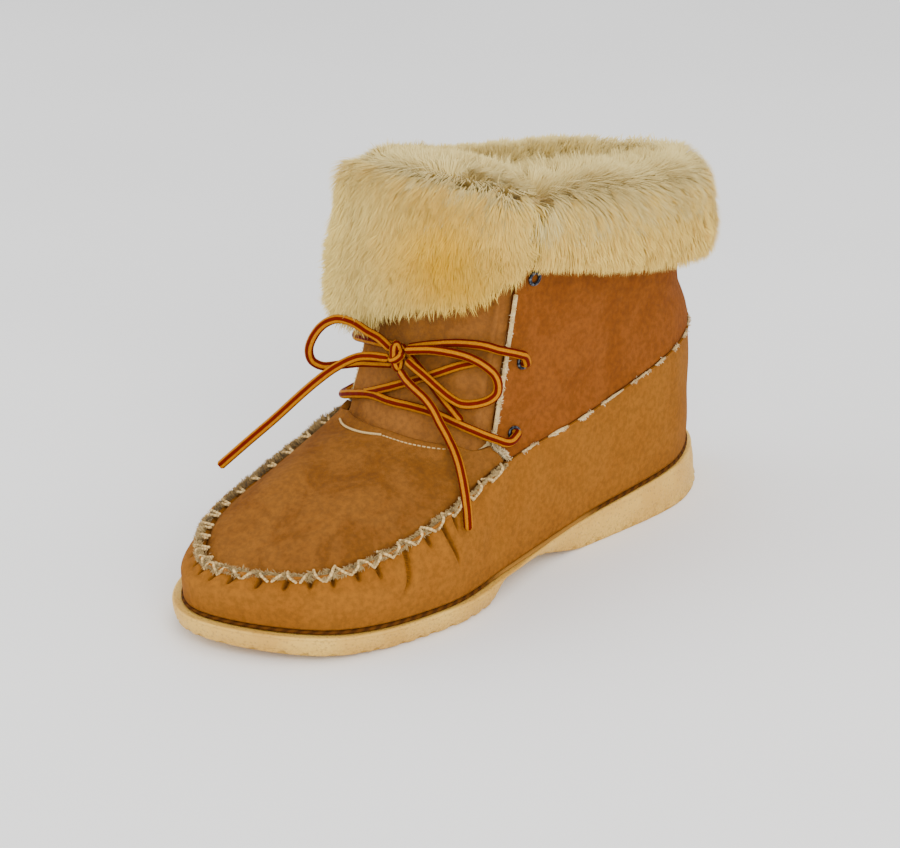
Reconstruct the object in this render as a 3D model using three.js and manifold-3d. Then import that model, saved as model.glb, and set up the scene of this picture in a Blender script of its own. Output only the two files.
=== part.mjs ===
// A left moccasin boot in sheepskin, ankle high: gathered lower and apron, laced quarters, broad tongue,
// turned-down fleece cuff and a moulded unit sole. Millimetres, +Z up, toe to -Y, outer (lateral) side to +X.
import * as THREE from 'three';
import Module from 'manifold-3d';

const wasm = await Module();
wasm.setup();

// Driving sizes
const LENGTH = 284;          // outsole, heel to toe tip
const BALL_WIDTH = 107;      // outsole at its widest
const HEEL_HEIGHT = 18.5;    // outsole under the heel
const FORE_HEIGHT = 9.6;     // outsole under the ball
const TOE_SPRING = 6;        // toe tip over the floor
const ARCH_RISE = 8;         // arch cut-out over the floor
const SHAFT_RISE = 151;      // front of the collar fold over the sole's seat
const WALL = 3;              // leather with its clipped lining
const APRON_WALL = 2.4;
const STRIP = 1.6;           // dark layer between sole and upper
const INSOLE = 3;
const MARGIN = 13;           // wall turned in under the insole
const MARGIN_THICK = 2;
const GAP = 0.3;             // between pieces that touch
const RIDGE = 2.8;           // moccasin seam over the wall
const SIDE_STEP = 0.9;       // lower's edge over the quarters
const GATHERS = 20;
const GATHER_DEPTH = 1.1;
const TONGUE_WALL = 2.4;
const TONGUE_FACE = -0.8;      // tongue's face against the quarters' face
const CUFF_THICK = 17;       // fleece of the turned-down cuff
const FLAP_THICK = 18;
const PILE = 6;              // fleece inside the folded edge
const FLEECE_RISE = 10;        // fleece over the folded edge
const EYELET_HOLE = 2.3;     // radius of the hole in the leather
const EYELET_INSET = 0.018;   // from the quarter's front edge, in turns
const LACE = 3.8;            // lace diameter
const LACE_SIDES = 8;
const LACE_STEP = 8.5;
const TREAD_WIDTH = 2.4;
const TREAD_DEPTH = 1.8;
const TREAD_EDGE = 9;        // plain rim round the tread

const UNDER_UPPER = STRIP + 2 * GAP;
const SEAT = FORE_HEIGHT + UNDER_UPPER;

// Stations round every loop. The first and the last lie on the boot's middle, the others on both sides.
const STATIONS = ['heelBack', 'heel', 'waist', 'instep', 'ball', 'shoulder', 'toe'];
const LAST = STATIONS.length - 1;
const STEPS = 2 * LAST;
const INSTEP = 3 / STEPS;

// Sole loops. along is a share of LENGTH, half and centre are shares of BALL_WIDTH.
const SOLE_FORM = {
  //          heelBack  heel   waist  instep ball   shoulder toe
  bottom: {
    along:  [0.000, 0.130, 0.416, 0.560, 0.694, 0.894, 0.993],
    half:   [0.000, 0.336, 0.345, 0.407, 0.473, 0.381, 0.000],
    centre: [0.019, 0.009, 0.019, 0.009, 0.000, -0.043, -0.107],
  },
  top: {
    along:  [0.012, 0.137, 0.416, 0.560, 0.694, 0.896, 1.000],
    half:   [0.000, 0.329, 0.366, 0.439, 0.500, 0.402, 0.000],
    centre: [0.019, 0.009, 0.014, 0.009, 0.000, -0.043, -0.107],
  },
};

// Loops of the last and the shaft, from the feather line up to the collar fold. rise is a share of SHAFT_RISE,
// over the sole's edge for the two rows on it and over the seat for the others. skew sets the outer side back
// and tilt sets it lower, both per millimetre of width.
const FORM = [
  {
    name: 'feather', onSole: true, skew: 0, tilt: 0,
    along:  [0.021, 0.144, 0.380, 0.560, 0.711, 0.887, 0.984],
    half:   [0.000, 0.313, 0.358, 0.421, 0.475, 0.374, 0.000],
    centre: [0.019, 0.009, 0.009, 0.000, 0.000, -0.036, -0.103],
    rise:   [0.000, 0.000, 0.000, 0.000, 0.000, 0.000, 0.000],
  },
  {
    name: 'bulge', onSole: true, skew: 0, tilt: 0,
    along:  [0.021, 0.144, 0.373, 0.560, 0.718, 0.884, 0.988],
    half:   [0.000, 0.322, 0.377, 0.425, 0.481, 0.383, 0.000],
    centre: [0.019, 0.009, 0.009, 0.000, 0.000, -0.036, -0.103],
    rise:   [0.171, 0.158, 0.138, 0.125, 0.105, 0.079, 0.066],
  },
  {
    name: 'seam', onSole: false, skew: 0.05, tilt: 0.03,
    along:  [0.033, 0.148, 0.366, 0.560, 0.739, 0.884, 0.955],
    half:   [0.000, 0.308, 0.379, 0.388, 0.390, 0.299, 0.000],
    centre: [0.019, 0.009, 0.009, 0.012, 0.018, 0.000, -0.075],
    rise:   [0.445, 0.435, 0.366, 0.319, 0.217, 0.160, 0.130],
  },
  {
    name: 'apron', onSole: false, skew: 0.08, tilt: 0.02,
    along:  [0.042, 0.151, 0.366, 0.570, 0.690, 0.789, 0.824],
    half:   [0.000, 0.303, 0.373, 0.376, 0.322, 0.185, 0.000],
    centre: [0.019, 0.009, 0.009, 0.009, 0.009, 0.000, -0.028],
    rise:   [0.491, 0.478, 0.412, 0.342, 0.290, 0.272, 0.250],
  },
  {
    name: 'throat', onSole: false, skew: 0.10, tilt: 0,
    along:  [0.053, 0.158, 0.366, 0.581, 0.623, 0.643, 0.648],
    half:   [0.000, 0.299, 0.364, 0.364, 0.262, 0.131, 0.000],
    centre: [0.019, 0.009, 0.009, 0.000, 0.000, 0.000, 0.000],
    rise:   [0.544, 0.518, 0.465, 0.359, 0.359, 0.362, 0.366],
  },
  {
    name: 'ankle', onSole: false, skew: 0.10, tilt: 0,
    along:  [0.069, 0.169, 0.366, 0.549, 0.573, 0.587, 0.592],
    half:   [0.000, 0.290, 0.355, 0.346, 0.262, 0.140, 0.000],
    centre: [0.019, 0.009, 0.009, 0.000, 0.000, 0.000, 0.000],
    rise:   [0.617, 0.611, 0.597, 0.577, 0.571, 0.571, 0.571],
  },
  {
    name: 'collar', onSole: false, skew: 0.10, tilt: 0,
    along:  [0.079, 0.173, 0.359, 0.521, 0.542, 0.555, 0.560],
    half:   [0.000, 0.299, 0.364, 0.374, 0.271, 0.140, 0.000],
    centre: [0.019, 0.009, 0.009, 0.000, 0.000, 0.000, 0.000],
    rise:   [0.868, 0.880, 0.925, 0.975, 0.988, 0.998, 1.000],
  },
];
const SEAM = FORM.findIndex((row) => row.name === 'seam');
const THROAT = FORM.findIndex((row) => row.name === 'throat');
const COLLAR = FORM.length - 1;

// Places along the sole, as shares of LENGTH
const HEEL_END = 0.36;       // heel's flat tread ends
const ARCH_TOP = 0.50;
const ARCH_END = 0.57;
const FOREPART = 0.605;      // forepart's flat tread starts
const SPRING_START = 0.74;   // and ends
const SLOPE_START = 0.10;    // top starts down from the heel
const SLOPE_END = 0.66;
const TOP_SPRING = 0.7;      // share of the toe spring that the top takes

const smooth = (a, b, x) => {
  const t = Math.min(1, Math.max(0, (x - a) / (b - a)));
  return t * t * (3 - 2 * t);
};
const mix = (a, b, t) => a + (b - a) * t;
const span = (from, to, count) => Array.from({ length: count + 1 }, (_, i) => mix(from, to, i / count));

// Closed Catmull-Rom curve through points, t from 0 to 1 once round
function closedCurve(points, t) {
  const count = points.length;
  const s = (((t % 1) + 1) % 1) * count;
  const i = Math.floor(s);
  const f = s - i;
  const at = (k) => points[(i + k + count) % count];
  return points[0].map((_, axis) => {
    const [a, b, c, d] = [at(-1)[axis], at(0)[axis], at(1)[axis], at(2)[axis]];
    return 0.5 * (2 * b + (c - a) * f + (2 * a - 5 * b + 4 * c - d) * f * f + (3 * b - a - 3 * c + d) * f ** 3);
  });
}

// Monotone cubic through values one apart, straight on beyond both ends
function through(values, v) {
  const end = values.length - 1;
  const rise = values.slice(1).map((value, i) => value - values[i]);
  const slope = values.map((_, i) => {
    if (i === 0) return rise[0];
    if (i === end) return rise[end - 1];
    const product = rise[i - 1] * rise[i];
    return product <= 0 ? 0 : (2 * product) / (rise[i - 1] + rise[i]);
  });
  if (v <= 0) return values[0] + slope[0] * v;
  if (v >= end) return values[end] + slope[end] * (v - end);
  const i = Math.floor(v);
  const f = v - i;
  return values[i] * (1 + 2 * f) * (1 - f) ** 2 + slope[i] * f * (1 - f) ** 2
    + values[i + 1] * f * f * (3 - 2 * f) + slope[i + 1] * f * f * (f - 1);
}

// Key points of a loop from the heel's back by the outer side to the toe and home by the inner side
function ring(row, height) {
  const { skew = 0, tilt = 0 } = row;
  const point = (station, side) => {
    const x = BALL_WIDTH * (row.centre[station] + side * row.half[station]);
    return [x, LENGTH * row.along[station] - skew * x, height(station) - tilt * x];
  };
  const outer = STATIONS.map((_, station) => point(station, 1));
  const inner = STATIONS.slice(1, LAST).map((_, i) => point(LAST - 1 - i, -1));
  return [...outer, ...inner];
}

const spring = (along) => Math.max(0, (along / LENGTH - SPRING_START) / (1 - SPRING_START)) ** 1.8;

function soleBottom(along) {
  const s = along / LENGTH;
  const arch = smooth(HEEL_END, ARCH_TOP, s) * (1 - smooth(ARCH_END, FOREPART, s));
  return ARCH_RISE * arch + TOE_SPRING * spring(along);
}

function soleTop(along) {
  const slope = smooth(SLOPE_START, SLOPE_END, along / LENGTH);
  return mix(HEEL_HEIGHT, FORE_HEIGHT, slope) + TOP_SPRING * TOE_SPRING * spring(along);
}

const SOLE_TOP = ring(SOLE_FORM.top, () => 0);
const SOLE_BOTTOM = ring(SOLE_FORM.bottom, () => 0);
const RINGS = FORM.map((row) => ring(row, (station) => (row.onSole ? 0 : SEAT) + SHAFT_RISE * row.rise[station]));

const column = new Map();
// Point of the last's surface: u once round from the heel's back, v from the feather line (0) to the collar (6)
function surface(u, v) {
  const key = u.toFixed(6);
  if (!column.has(key)) {
    column.set(key, RINGS.map((points, i) => {
      const [x, along, z] = closedCurve(points, u);
      return [x, along, FORM[i].onSole ? z + soleTop(along) + UNDER_UPPER : z];
    }));
  }
  const rows = column.get(key);
  return [0, 1, 2].map((axis) => through(rows.map((row) => row[axis]), v));
}

// The same point moved out along the surface's normal by n and up by lift, in the boot's axes. The normal lies
// level at the feather line, so that the margin turned in there is flat.
function place(u, v, n = 0, lift = 0) {
  const [du, dv] = [mix(0.004, 0.03, smooth(THROAT, THROAT + 1, v)), 0.04];
  const across = new THREE.Vector3(...surface(u + du, v)).sub(new THREE.Vector3(...surface(u - du, v)));
  const up = new THREE.Vector3(...surface(u, Math.min(v + dv, COLLAR)))
    .sub(new THREE.Vector3(...surface(u, Math.min(v, COLLAR) - dv)));
  const normal = across.cross(up);
  normal.z *= smooth(0, 0.6, v);
  normal.normalize();
  const [x, along, z] = surface(u, v);
  const moved = along + n * normal.y;
  const level = v <= 0 ? soleTop(moved) - soleTop(along) : 0;
  return [x + n * normal.x, moved, z + n * normal.z + level + lift];
}

// Closed body from rings of points; each ring is a list of [x, along, z], all of one length
function bodyOfRings(rings, round) {
  const size = rings[0].length;
  const flat = rings.flat();
  const positions = flat.flatMap(([x, along, z]) => [x, -along, z]);
  const triangles = [];
  const last = round ? rings.length : rings.length - 1;
  for (let i = 0; i < last; i += 1) {
    const j = (i + 1) % rings.length;
    for (let k = 0; k < size; k += 1) {
      const m = (k + 1) % size;
      const [a, b, c, d] = [i * size + k, i * size + m, j * size + m, j * size + k];
      triangles.push([a, b, c], [a, c, d]);
    }
  }
  if (!round) {
    triangles.push(...capOf(rings[0], 0, false), ...capOf(rings[rings.length - 1], last * size, true));
  }
  return solidOf(positions, triangles);
}

// Triangles that close a ring, seen along its own mean plane
function capOf(points, offset, flip) {
  const list = points.map((p) => new THREE.Vector3(...p));
  const normal = new THREE.Vector3();
  list.forEach((p, i) => normal.add(p.clone().cross(list[(i + 1) % list.length])));
  normal.normalize();
  const side = new THREE.Vector3(Math.abs(normal.z) > 0.9 ? 1 : 0, 0, Math.abs(normal.z) > 0.9 ? 0 : 1)
    .cross(normal).normalize();
  const up = normal.clone().cross(side);
  const contour = list.map((p) => new THREE.Vector2(p.dot(side), p.dot(up)));
  const faces = THREE.ShapeUtils.triangulateShape(contour, []);
  return faces.map(([a, b, c]) => (flip ? [a, b, c] : [a, c, b]).map((k) => k + offset));
}

function solidOf(positions, triangles) {
  const at = (k) => new THREE.Vector3(positions[3 * k], positions[3 * k + 1], positions[3 * k + 2]);
  const volume = triangles.reduce((sum, [a, b, c]) => sum + at(a).dot(at(b).cross(at(c))), 0);
  const facing = volume > 0 ? triangles : triangles.map(([a, b, c]) => [a, c, b]);
  return new wasm.Manifold(new wasm.Mesh({
    numProp: 3, vertProperties: new Float32Array(positions), triVerts: new Uint32Array(facing.flat()),
  }));
}

// Body swept round the last: section(u) lists [v, n, lift] points
function sweep(us, section, round = false) {
  return bodyOfRings(us.map((u) => section(u).map(([v, n, lift]) => place(u, v, n, lift))), round);
}

// A three.js geometry as a solid, with its shared corners merged
function solidOfGeometry(geometry) {
  const index = new Map();
  const positions = [];
  const at = geometry.getAttribute('position');
  const corner = (k) => {
    const p = [at.getX(k), at.getY(k), at.getZ(k)];
    const key = p.map((value) => Math.round(value * 1e4)).join();
    if (!index.has(key)) {
      index.set(key, index.size);
      positions.push(...p);
    }
    return index.get(key);
  };
  const order = geometry.index ? Array.from(geometry.index.array) : Array.from({ length: at.count }, (_, i) => i);
  const corners = order.map(corner);
  const triangles = [];
  for (let i = 0; i < corners.length; i += 3) {
    const [a, b, c] = corners.slice(i, i + 3);
    if (a !== b && b !== c && a !== c) triangles.push([a, b, c]);
  }
  return solidOf(positions, triangles);
}

function meshOf(name, solid, color, roughness = 0.9, metalness = 0) {
  const { vertProperties, triVerts } = solid.getMesh();
  const geometry = new THREE.BufferGeometry();
  geometry.setAttribute('position', new THREE.BufferAttribute(new Float32Array(vertProperties), 3));
  geometry.setIndex(new THREE.BufferAttribute(new Uint32Array(triVerts), 1));
  geometry.computeVertexNormals();
  const mesh = new THREE.Mesh(geometry, new THREE.MeshStandardMaterial({ color, roughness, metalness }));
  mesh.name = name;
  return mesh;
}

// The flat ring of a sole layer, moved in by inset and set at a height
function soleRing(loop, us, inset, height) {
  return us.map((u) => {
    const [x, along] = closedCurve(loop, u);
    const [ax, aa] = closedCurve(loop, u + 0.002);
    const [bx, ba] = closedCurve(loop, u - 0.002);
    const length = Math.hypot(ax - bx, aa - ba);
    const moved = along + (inset * (ax - bx)) / length;
    return [x - (inset * (aa - ba)) / length, moved, height(moved)];
  });
}

// Layer between stacked rings, its two lids made of strips from side to side
function layer(rings) {
  const size = rings[0].length;
  const positions = rings.flat().flatMap(([x, along, z]) => [x, -along, z]);
  const triangles = [];
  for (let i = 0; i < rings.length - 1; i += 1) {
    for (let k = 0; k < size; k += 1) {
      const m = (k + 1) % size;
      const [a, b, c, d] = [i * size + k, i * size + m, (i + 1) * size + m, (i + 1) * size + k];
      triangles.push([a, b, c], [a, c, d]);
    }
  }
  const lid = (offset, flip) => {
    for (let k = 0; k < size / 2; k += 1) {
      const [a, b, c, d] = [k, k + 1, size - k - 1, (size - k) % size].map((q) => q + offset);
      const pair = k === 0 ? [[a, b, c]] : [[a, b, c], [a, c, d]];
      if (k === size / 2 - 1) pair.splice(0, pair.length, [a, b, d]);
      triangles.push(...pair.map(([p, q, r]) => (flip ? [p, q, r] : [p, r, q])));
    }
  };
  lid(0, false);
  lid((rings.length - 1) * size, true);
  return solidOf(positions, triangles);
}

const SOLE_STEPS = 72;
const soleTurns = Array.from({ length: SOLE_STEPS }, (_, i) => i / SOLE_STEPS);

// Unit sole: floor edge, side, ledge and top, with cross grooves inside a plain rim
function outsole() {
  const low = soleRing(SOLE_BOTTOM, soleTurns, 0, soleBottom);
  const high = soleRing(SOLE_TOP, soleTurns, 0, soleTop);
  const brim = soleRing(SOLE_TOP, soleTurns, 1.1, soleTop);
  const side = (share, out) => low.map((p, i) => [
    mix(p[0], high[i][0], out), mix(p[1], high[i][1], out), mix(p[2], high[i][2], share)]);
  let solid = layer([low, side(0.12, 0.3), side(0.55, 0.7), side(0.9, 1), brim]);
  for (const [from, to, count] of [[0.05, 0.33, 6], [0.64, 0.80, 5]]) {
    for (const along of span(from * LENGTH, to * LENGTH, count - 1)) {
      const width = soleWidthAt(along) - 2 * TREAD_EDGE;
      const groove = new THREE.BoxGeometry(width, TREAD_WIDTH, 2 * TREAD_DEPTH);
      groove.translate(soleMiddleAt(along), -along, soleBottom(along));
      solid = solid.subtract(solidOfGeometry(groove));
    }
  }
  return solid;
}

// The two sides of the sole's floor outline at a place along it
function soleSidesAt(along) {
  const sides = [[0, 0.5], [0.5, 1]].map(([from, to]) => {
    const points = span(from, to, 120).map((u) => closedCurve(SOLE_BOTTOM, u));
    return points.reduce((best, p) => (Math.abs(p[1] - along) < Math.abs(best[1] - along) ? p : best))[0];
  });
  return sides;
}
const soleWidthAt = (along) => soleSidesAt(along)[0] - soleSidesAt(along)[1];
const soleMiddleAt = (along) => (soleSidesAt(along)[0] + soleSidesAt(along)[1]) / 2;

// Dark strip that lies on the sole, a little wider than the upper's foot
function strip() {
  const at = (lift) => soleRing(RINGS[0], soleTurns, -1.2, (along) => soleTop(along) + lift);
  return layer([at(GAP), at(GAP + STRIP)]);
}

// Insole on the turned-in margin
function insole() {
  const under = UNDER_UPPER + MARGIN_THICK + GAP;
  const at = (lift) => soleRing(RINGS[0], soleTurns, WALL + 4 * GAP, (along) => soleTop(along) + lift);
  return layer([at(under), at(under + INSOLE)]);
}

// Turns round the back from one quarter's front edge to the other's, and on round the gathered toe
const rearTurns = span(-INSTEP, INSTEP, 24);
const GATHER_START = INSTEP * 1.12;
const toeTurns = span(GATHER_START, 1 - GATHER_START, GATHERS * 3);
const frontTurns = span(INSTEP + 0.004, 1 - INSTEP - 0.004, 30);

const FRONT = (u) => smooth(INSTEP - 0.01, INSTEP + 0.03, u) * (1 - smooth(1 - INSTEP - 0.03, 1 - INSTEP + 0.01, u));

function gather(u, v) {
  if (u < GATHER_START || u > 1 - GATHER_START) return 0;
  const wave = 0.5 - 0.5 * Math.cos((2 * Math.PI * GATHERS * (u - GATHER_START)) / (1 - 2 * GATHER_START));
  return GATHER_DEPTH * (wave - 1) * smooth(1.1, 1.8, v) * FRONT(u);
}

// Wraparound lower: side wall with its raised, gathered rim, and the margin turned in underneath
function lower() {
  const sides = [0, 0.45, 0.9, 1.3, 1.6, 1.84];
  return sweep([...rearTurns, ...toeTurns], (u) => {
    const rim = mix(SIDE_STEP, RIDGE, FRONT(u));
    return [
      ...sides.map((v) => [v, gather(u, v), 0]),
      [1.93, rim * 0.8 + gather(u, 1.93), 0], [SEAM, rim + gather(u, SEAM) * 0.6, 0],
      [SEAM, -WALL, 0], [1.3, -WALL, 0], [0.6, -WALL, 0], [0, -WALL, MARGIN_THICK],
      [0, -WALL - MARGIN, MARGIN_THICK], [0, -WALL - MARGIN, 0],
    ];
  }, true);
}

// Apron inside the raised seam, from the toe back to the throat
function apron() {
  const [top, under] = [-0.3, -0.3 - APRON_WALL];
  const rows = [SEAM - 0.06, SEAM + 0.35, SEAM + 0.8, SEAM + 1.3, THROAT];
  return sweep(frontTurns, () => [...rows.map((v) => [v, top, 0]), ...rows.slice().reverse().map((v) => [v, under, 0])]);
}

// How far to go in v from a row for a distance along the surface
function stepFrom(u, v, distance) {
  const here = new THREE.Vector3(...surface(u, v));
  const there = new THREE.Vector3(...surface(u, v + 0.02));
  return (0.02 * distance) / here.distanceTo(there);
}

// Quarters round the ankle, open in front, standing on the side seam
function shaft() {
  const rows = [0, 0.08, 0.2, 0.36, 0.52, 0.68, 0.84, 1];
  let solid = sweep(rearTurns, (u) => {
    const from = SEAM + stepFrom(u, SEAM, GAP);
    const vs = rows.map((share) => mix(from, COLLAR, share));
    return [...vs.map((v) => [v, 0, 0]), ...vs.slice().reverse().map((v) => [v, -WALL, 0])];
  });
  for (const eyelet of EYELETS) solid = solid.subtract(drill(eyelet, EYELET_HOLE + GAP));
  return solid;
}

// Eyelets near the quarters' front edges. The inner side's top one is hidden by the fleece and left out.
const EYELETS = [
  { name: 'eyelet_low_outer', side: 1, row: 3.95 },
  { name: 'eyelet_low_inner', side: -1, row: 3.95 },
  { name: 'eyelet_middle_outer', side: 1, row: 4.95 },
  { name: 'eyelet_middle_inner', side: -1, row: 4.9 },
  { name: 'eyelet_high_outer', side: 1, row: 5.6 },
].map(({ name, side, row }) => ({ name, u: side * (INSTEP - EYELET_INSET), v: row }));

// Places a geometry made along +Y on the surface, +Y pointing out
function onSurface(geometry, { u, v }, n) {
  const at = new THREE.Vector3(...place(u, v, n));
  const out = new THREE.Vector3(...place(u, v, n + 1)).sub(at);
  const toFrame = (p) => new THREE.Vector3(p.x, -p.y, p.z);
  const turn = new THREE.Quaternion().setFromUnitVectors(new THREE.Vector3(0, 1, 0), toFrame(out).normalize());
  const copy = geometry.clone().applyQuaternion(turn);
  const spot = toFrame(at);
  return copy.translate(spot.x, spot.y, spot.z);
}

const drill = (spot, radius) => solidOfGeometry(
  onSurface(new THREE.CylinderGeometry(radius, radius, 4 * WALL, 10), spot, -WALL / 2));

// Eyelet: flange on the leather and a barrel through it
function eyelet(spot) {
  const [bore, barrel, flange] = [1.7, EYELET_HOLE, EYELET_HOLE + 1.5];
  const [low, high] = [2 * GAP, 2 * GAP + 0.8];
  const profile = [[bore, -WALL], [barrel, -WALL], [barrel, low], [flange, low], [flange - 0.3, high], [bore, high],
    [bore, -WALL]].map(([r, y]) => new THREE.Vector2(r, y));
  return solidOfGeometry(onSurface(new THREE.LatheGeometry(profile, 8), spot, 0));
}

// Tongue: under the apron's edge and the quarters at its rim, level with them in the middle
function tongue(clear = 0) {
  const turns = [INSTEP - 0.03, INSTEP - 0.012, ...frontTurns, 1 - INSTEP + 0.012, 1 - INSTEP + 0.03];
  const rows = [THROAT - 0.25, THROAT + 0.03, THROAT + 0.25, THROAT + 0.6, THROAT + 1, THROAT + 1.5, COLLAR];
  const lift = (v) => (v === COLLAR ? clear : 0);
  return sweep(turns, (u) => [...rows.map((v) => [v, tongueFace(u, v) + clear, lift(v)]),
    ...rows.slice().reverse().map((v) => [v, tongueFace(u, v) - TONGUE_WALL - clear, lift(v)])]);
}

// Offset of the tongue's face: under the apron and the quarters at its rim, nearly level with them in the middle
function tongueFace(u, v) {
  const middle = smooth(INSTEP + 0.01, INSTEP + 0.06, u) * (1 - smooth(1 - INSTEP - 0.06, 1 - INSTEP - 0.01, u));
  return mix(-WALL - 2 * GAP, TONGUE_FACE, middle * smooth(THROAT + 0.1, THROAT + 0.5, v));
}

// Row that the fleece's lower edge follows, at each twelfth of the way round
const HEM = [5.38, 5.48, 5.64, 5.76, 5.60, 5.52, 5.45, 5.36, 5.20, 5.20, 5.38, 5.38].map((row) => [row]);
const hemAt = (u) => closedCurve(HEM, u)[0];

// How far a turn is from the quarters' front edge, and how full the fleece is there
const cornerDistance = (u) => Math.abs(INSTEP - Math.min(Math.abs(u), 1 - Math.abs(u)));
const rounding = (u) => mix(0.66, 1, smooth(0, 0.06, cornerDistance(u)));

// Fleece folded over an edge: its outside bulges by thick, and a slot holds the wall between inner and outer
function fold(turns, thick, slot) {
  return sweep(turns, (u) => {
    const hem = hemAt(u);
    const row = (share) => mix(hem, COLLAR, share);
    const { outer, inner } = slot(u);
    const roll = thick * rounding(u);
    const full = smooth(0.02, 0.08, cornerDistance(u));
    const pile = PILE * mix(0.1, 1, full);
    const inside = (share) => COLLAR - share * mix(0.06, 1, full);
    return [
      [hem, outer, 0], [hem, 0.35 * roll, -2], [hem, 0.65 * roll, -2.5], [row(0.2), 0.9 * roll, 0],
      [row(0.5), roll, 0], [row(0.8), roll, 0], [COLLAR, 0.85 * roll, 3], [COLLAR, 0.5 * roll, FLEECE_RISE * 0.85],
      [COLLAR, 0, FLEECE_RISE], [COLLAR, inner + mix(2, -0.4 * pile, full), FLEECE_RISE * 0.8], [inside(0.1), inner - pile, 0],
      [inside(0.4), inner - pile, 0], [inside(0.55), inner, 0], [COLLAR, inner, 2 * GAP], [COLLAR, outer, 2 * GAP],
    ];
  });
}

// Locks of the fleece, fused on in rings: each is a four-sided tuft that leans down by droop
function withLocks(solid, rings, outer) {
  const tufts = rings.flatMap(({ from, to, count, row, out, length, radius, droop }) => (
    span(from, to, count - 1).map((u, i) => {
      const lock = new THREE.ConeGeometry(radius, length, 4);
      lock.translate(0, length / 2 - 2, 0);
      lock.rotateY(i);
      const v = mix(hemAt(u), COLLAR, row + 0.05 * Math.sin(2.4 * i));
      return solidOfGeometry(leaning(lock, { u, v }, out * outer * rounding(u), droop));
    })));
  return wasm.Manifold.union([solid, ...tufts]).subtract(tongue(GAP));
}

// Places a geometry made along +Y on the surface, pointing out and down
function leaning(geometry, { u, v }, n, droop) {
  const at = new THREE.Vector3(...place(u, v, n));
  const out = new THREE.Vector3(...place(u, v, n + 1)).sub(at);
  const way = new THREE.Vector3(out.x, -out.y, out.z - droop).normalize();
  const copy = geometry.clone().applyQuaternion(
    new THREE.Quaternion().setFromUnitVectors(new THREE.Vector3(0, 1, 0), way));
  return copy.translate(at.x, -at.y, at.z);
}

// Turned-down fleece round the sides and the back
function cuff() {
  const solid = fold(rearTurns.slice(1), CUFF_THICK, (u) => {
    const overTongue = smooth(INSTEP - 0.065, INSTEP - 0.042, Math.abs(u));
    return { outer: 2 * GAP, inner: -WALL - 2 * GAP - overTongue * (TONGUE_WALL + 2 * GAP) };
  });
  const [from, to] = [-INSTEP + 0.04, INSTEP - 0.02];
  return withLocks(solid, [
    { from, to, count: 13, row: 0.22, out: 0.86, length: 6, radius: 5.5, droop: 0.8 },
    { from, to, count: 12, row: 0.62, out: 0.96, length: 5, radius: 5.5, droop: 0.4 },
  ], CUFF_THICK);
}

// Turned-down fleece in front, on the tongue
function flap() {
  const solid = fold(frontTurns.slice(1, -2), FLAP_THICK, (u) => {
    const face = tongueFace(u, COLLAR);
    return { outer: face + 3 * GAP, inner: face - TONGUE_WALL - 4 * GAP };
  });
  const [from, to] = [INSTEP + 0.035, 1 - INSTEP - 0.035];
  return withLocks(solid, [
    { from, to, count: 13, row: 0.1, out: 0.5, length: 14, radius: 4, droop: 3 },
    { from, to, count: 10, row: 0.35, out: 0.92, length: 7, radius: 5.5, droop: 1 },
    { from, to, count: 9, row: 0.7, out: 0.98, length: 5, radius: 5.5, droop: 0.5 },
  ], FLAP_THICK);
}

// Lace routes, chosen by hand, in the boot's axes before it is centred. The crossings are fused into one solid.
const CROSSINGS = {
  bar: [[44.5, -154, 65.5], [43.5, -160.5, 68.5], [38.5, -165, 70.8], [30.5, -170.3, 74.2], [23, -171.8, 75.5],
    [16, -173.5, 77], [6, -176, 77.5], [-4.5, -177.5, 77], [-16, -177, 76.5], [-29.5, -176, 72.7], [-38, -173.5, 69.3],
    [-43.5, -167, 67], [-44.5, -160.5, 67]],
  outerDiagonal: [[-21, -176, 76], [-10, -176, 81], [-2.5, -174.7, 84.5], [11, -170.5, 91], [22.5, -165, 97],
    [29.2, -161.1, 99.7]],
  innerDiagonal: [[-5, -170.5, 99], [-1, -170.7, 96.5], [8, -171.3, 91.5], [18.5, -171.2, 84], [27.5, -169.5, 76]],
  outerTop: [[42, -143.5, 100], [42.3, -148.5, 102.5], [41.6, -153.5, 104.8], [38, -158, 106.3], [33.5, -160.5, 107.3],
    [21.5, -163.5, 106], [8.5, -168, 103], [-3, -170.2, 99]],
  innerTop: [[-4, -170.5, 98.8], [-14, -171, 98], [-24, -169.8, 96.5], [-31, -168, 95], [-38, -165.5, 93.5],
    [-41.8, -160.5, 93], [-42.2, -153.5, 94.5]],
};
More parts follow.
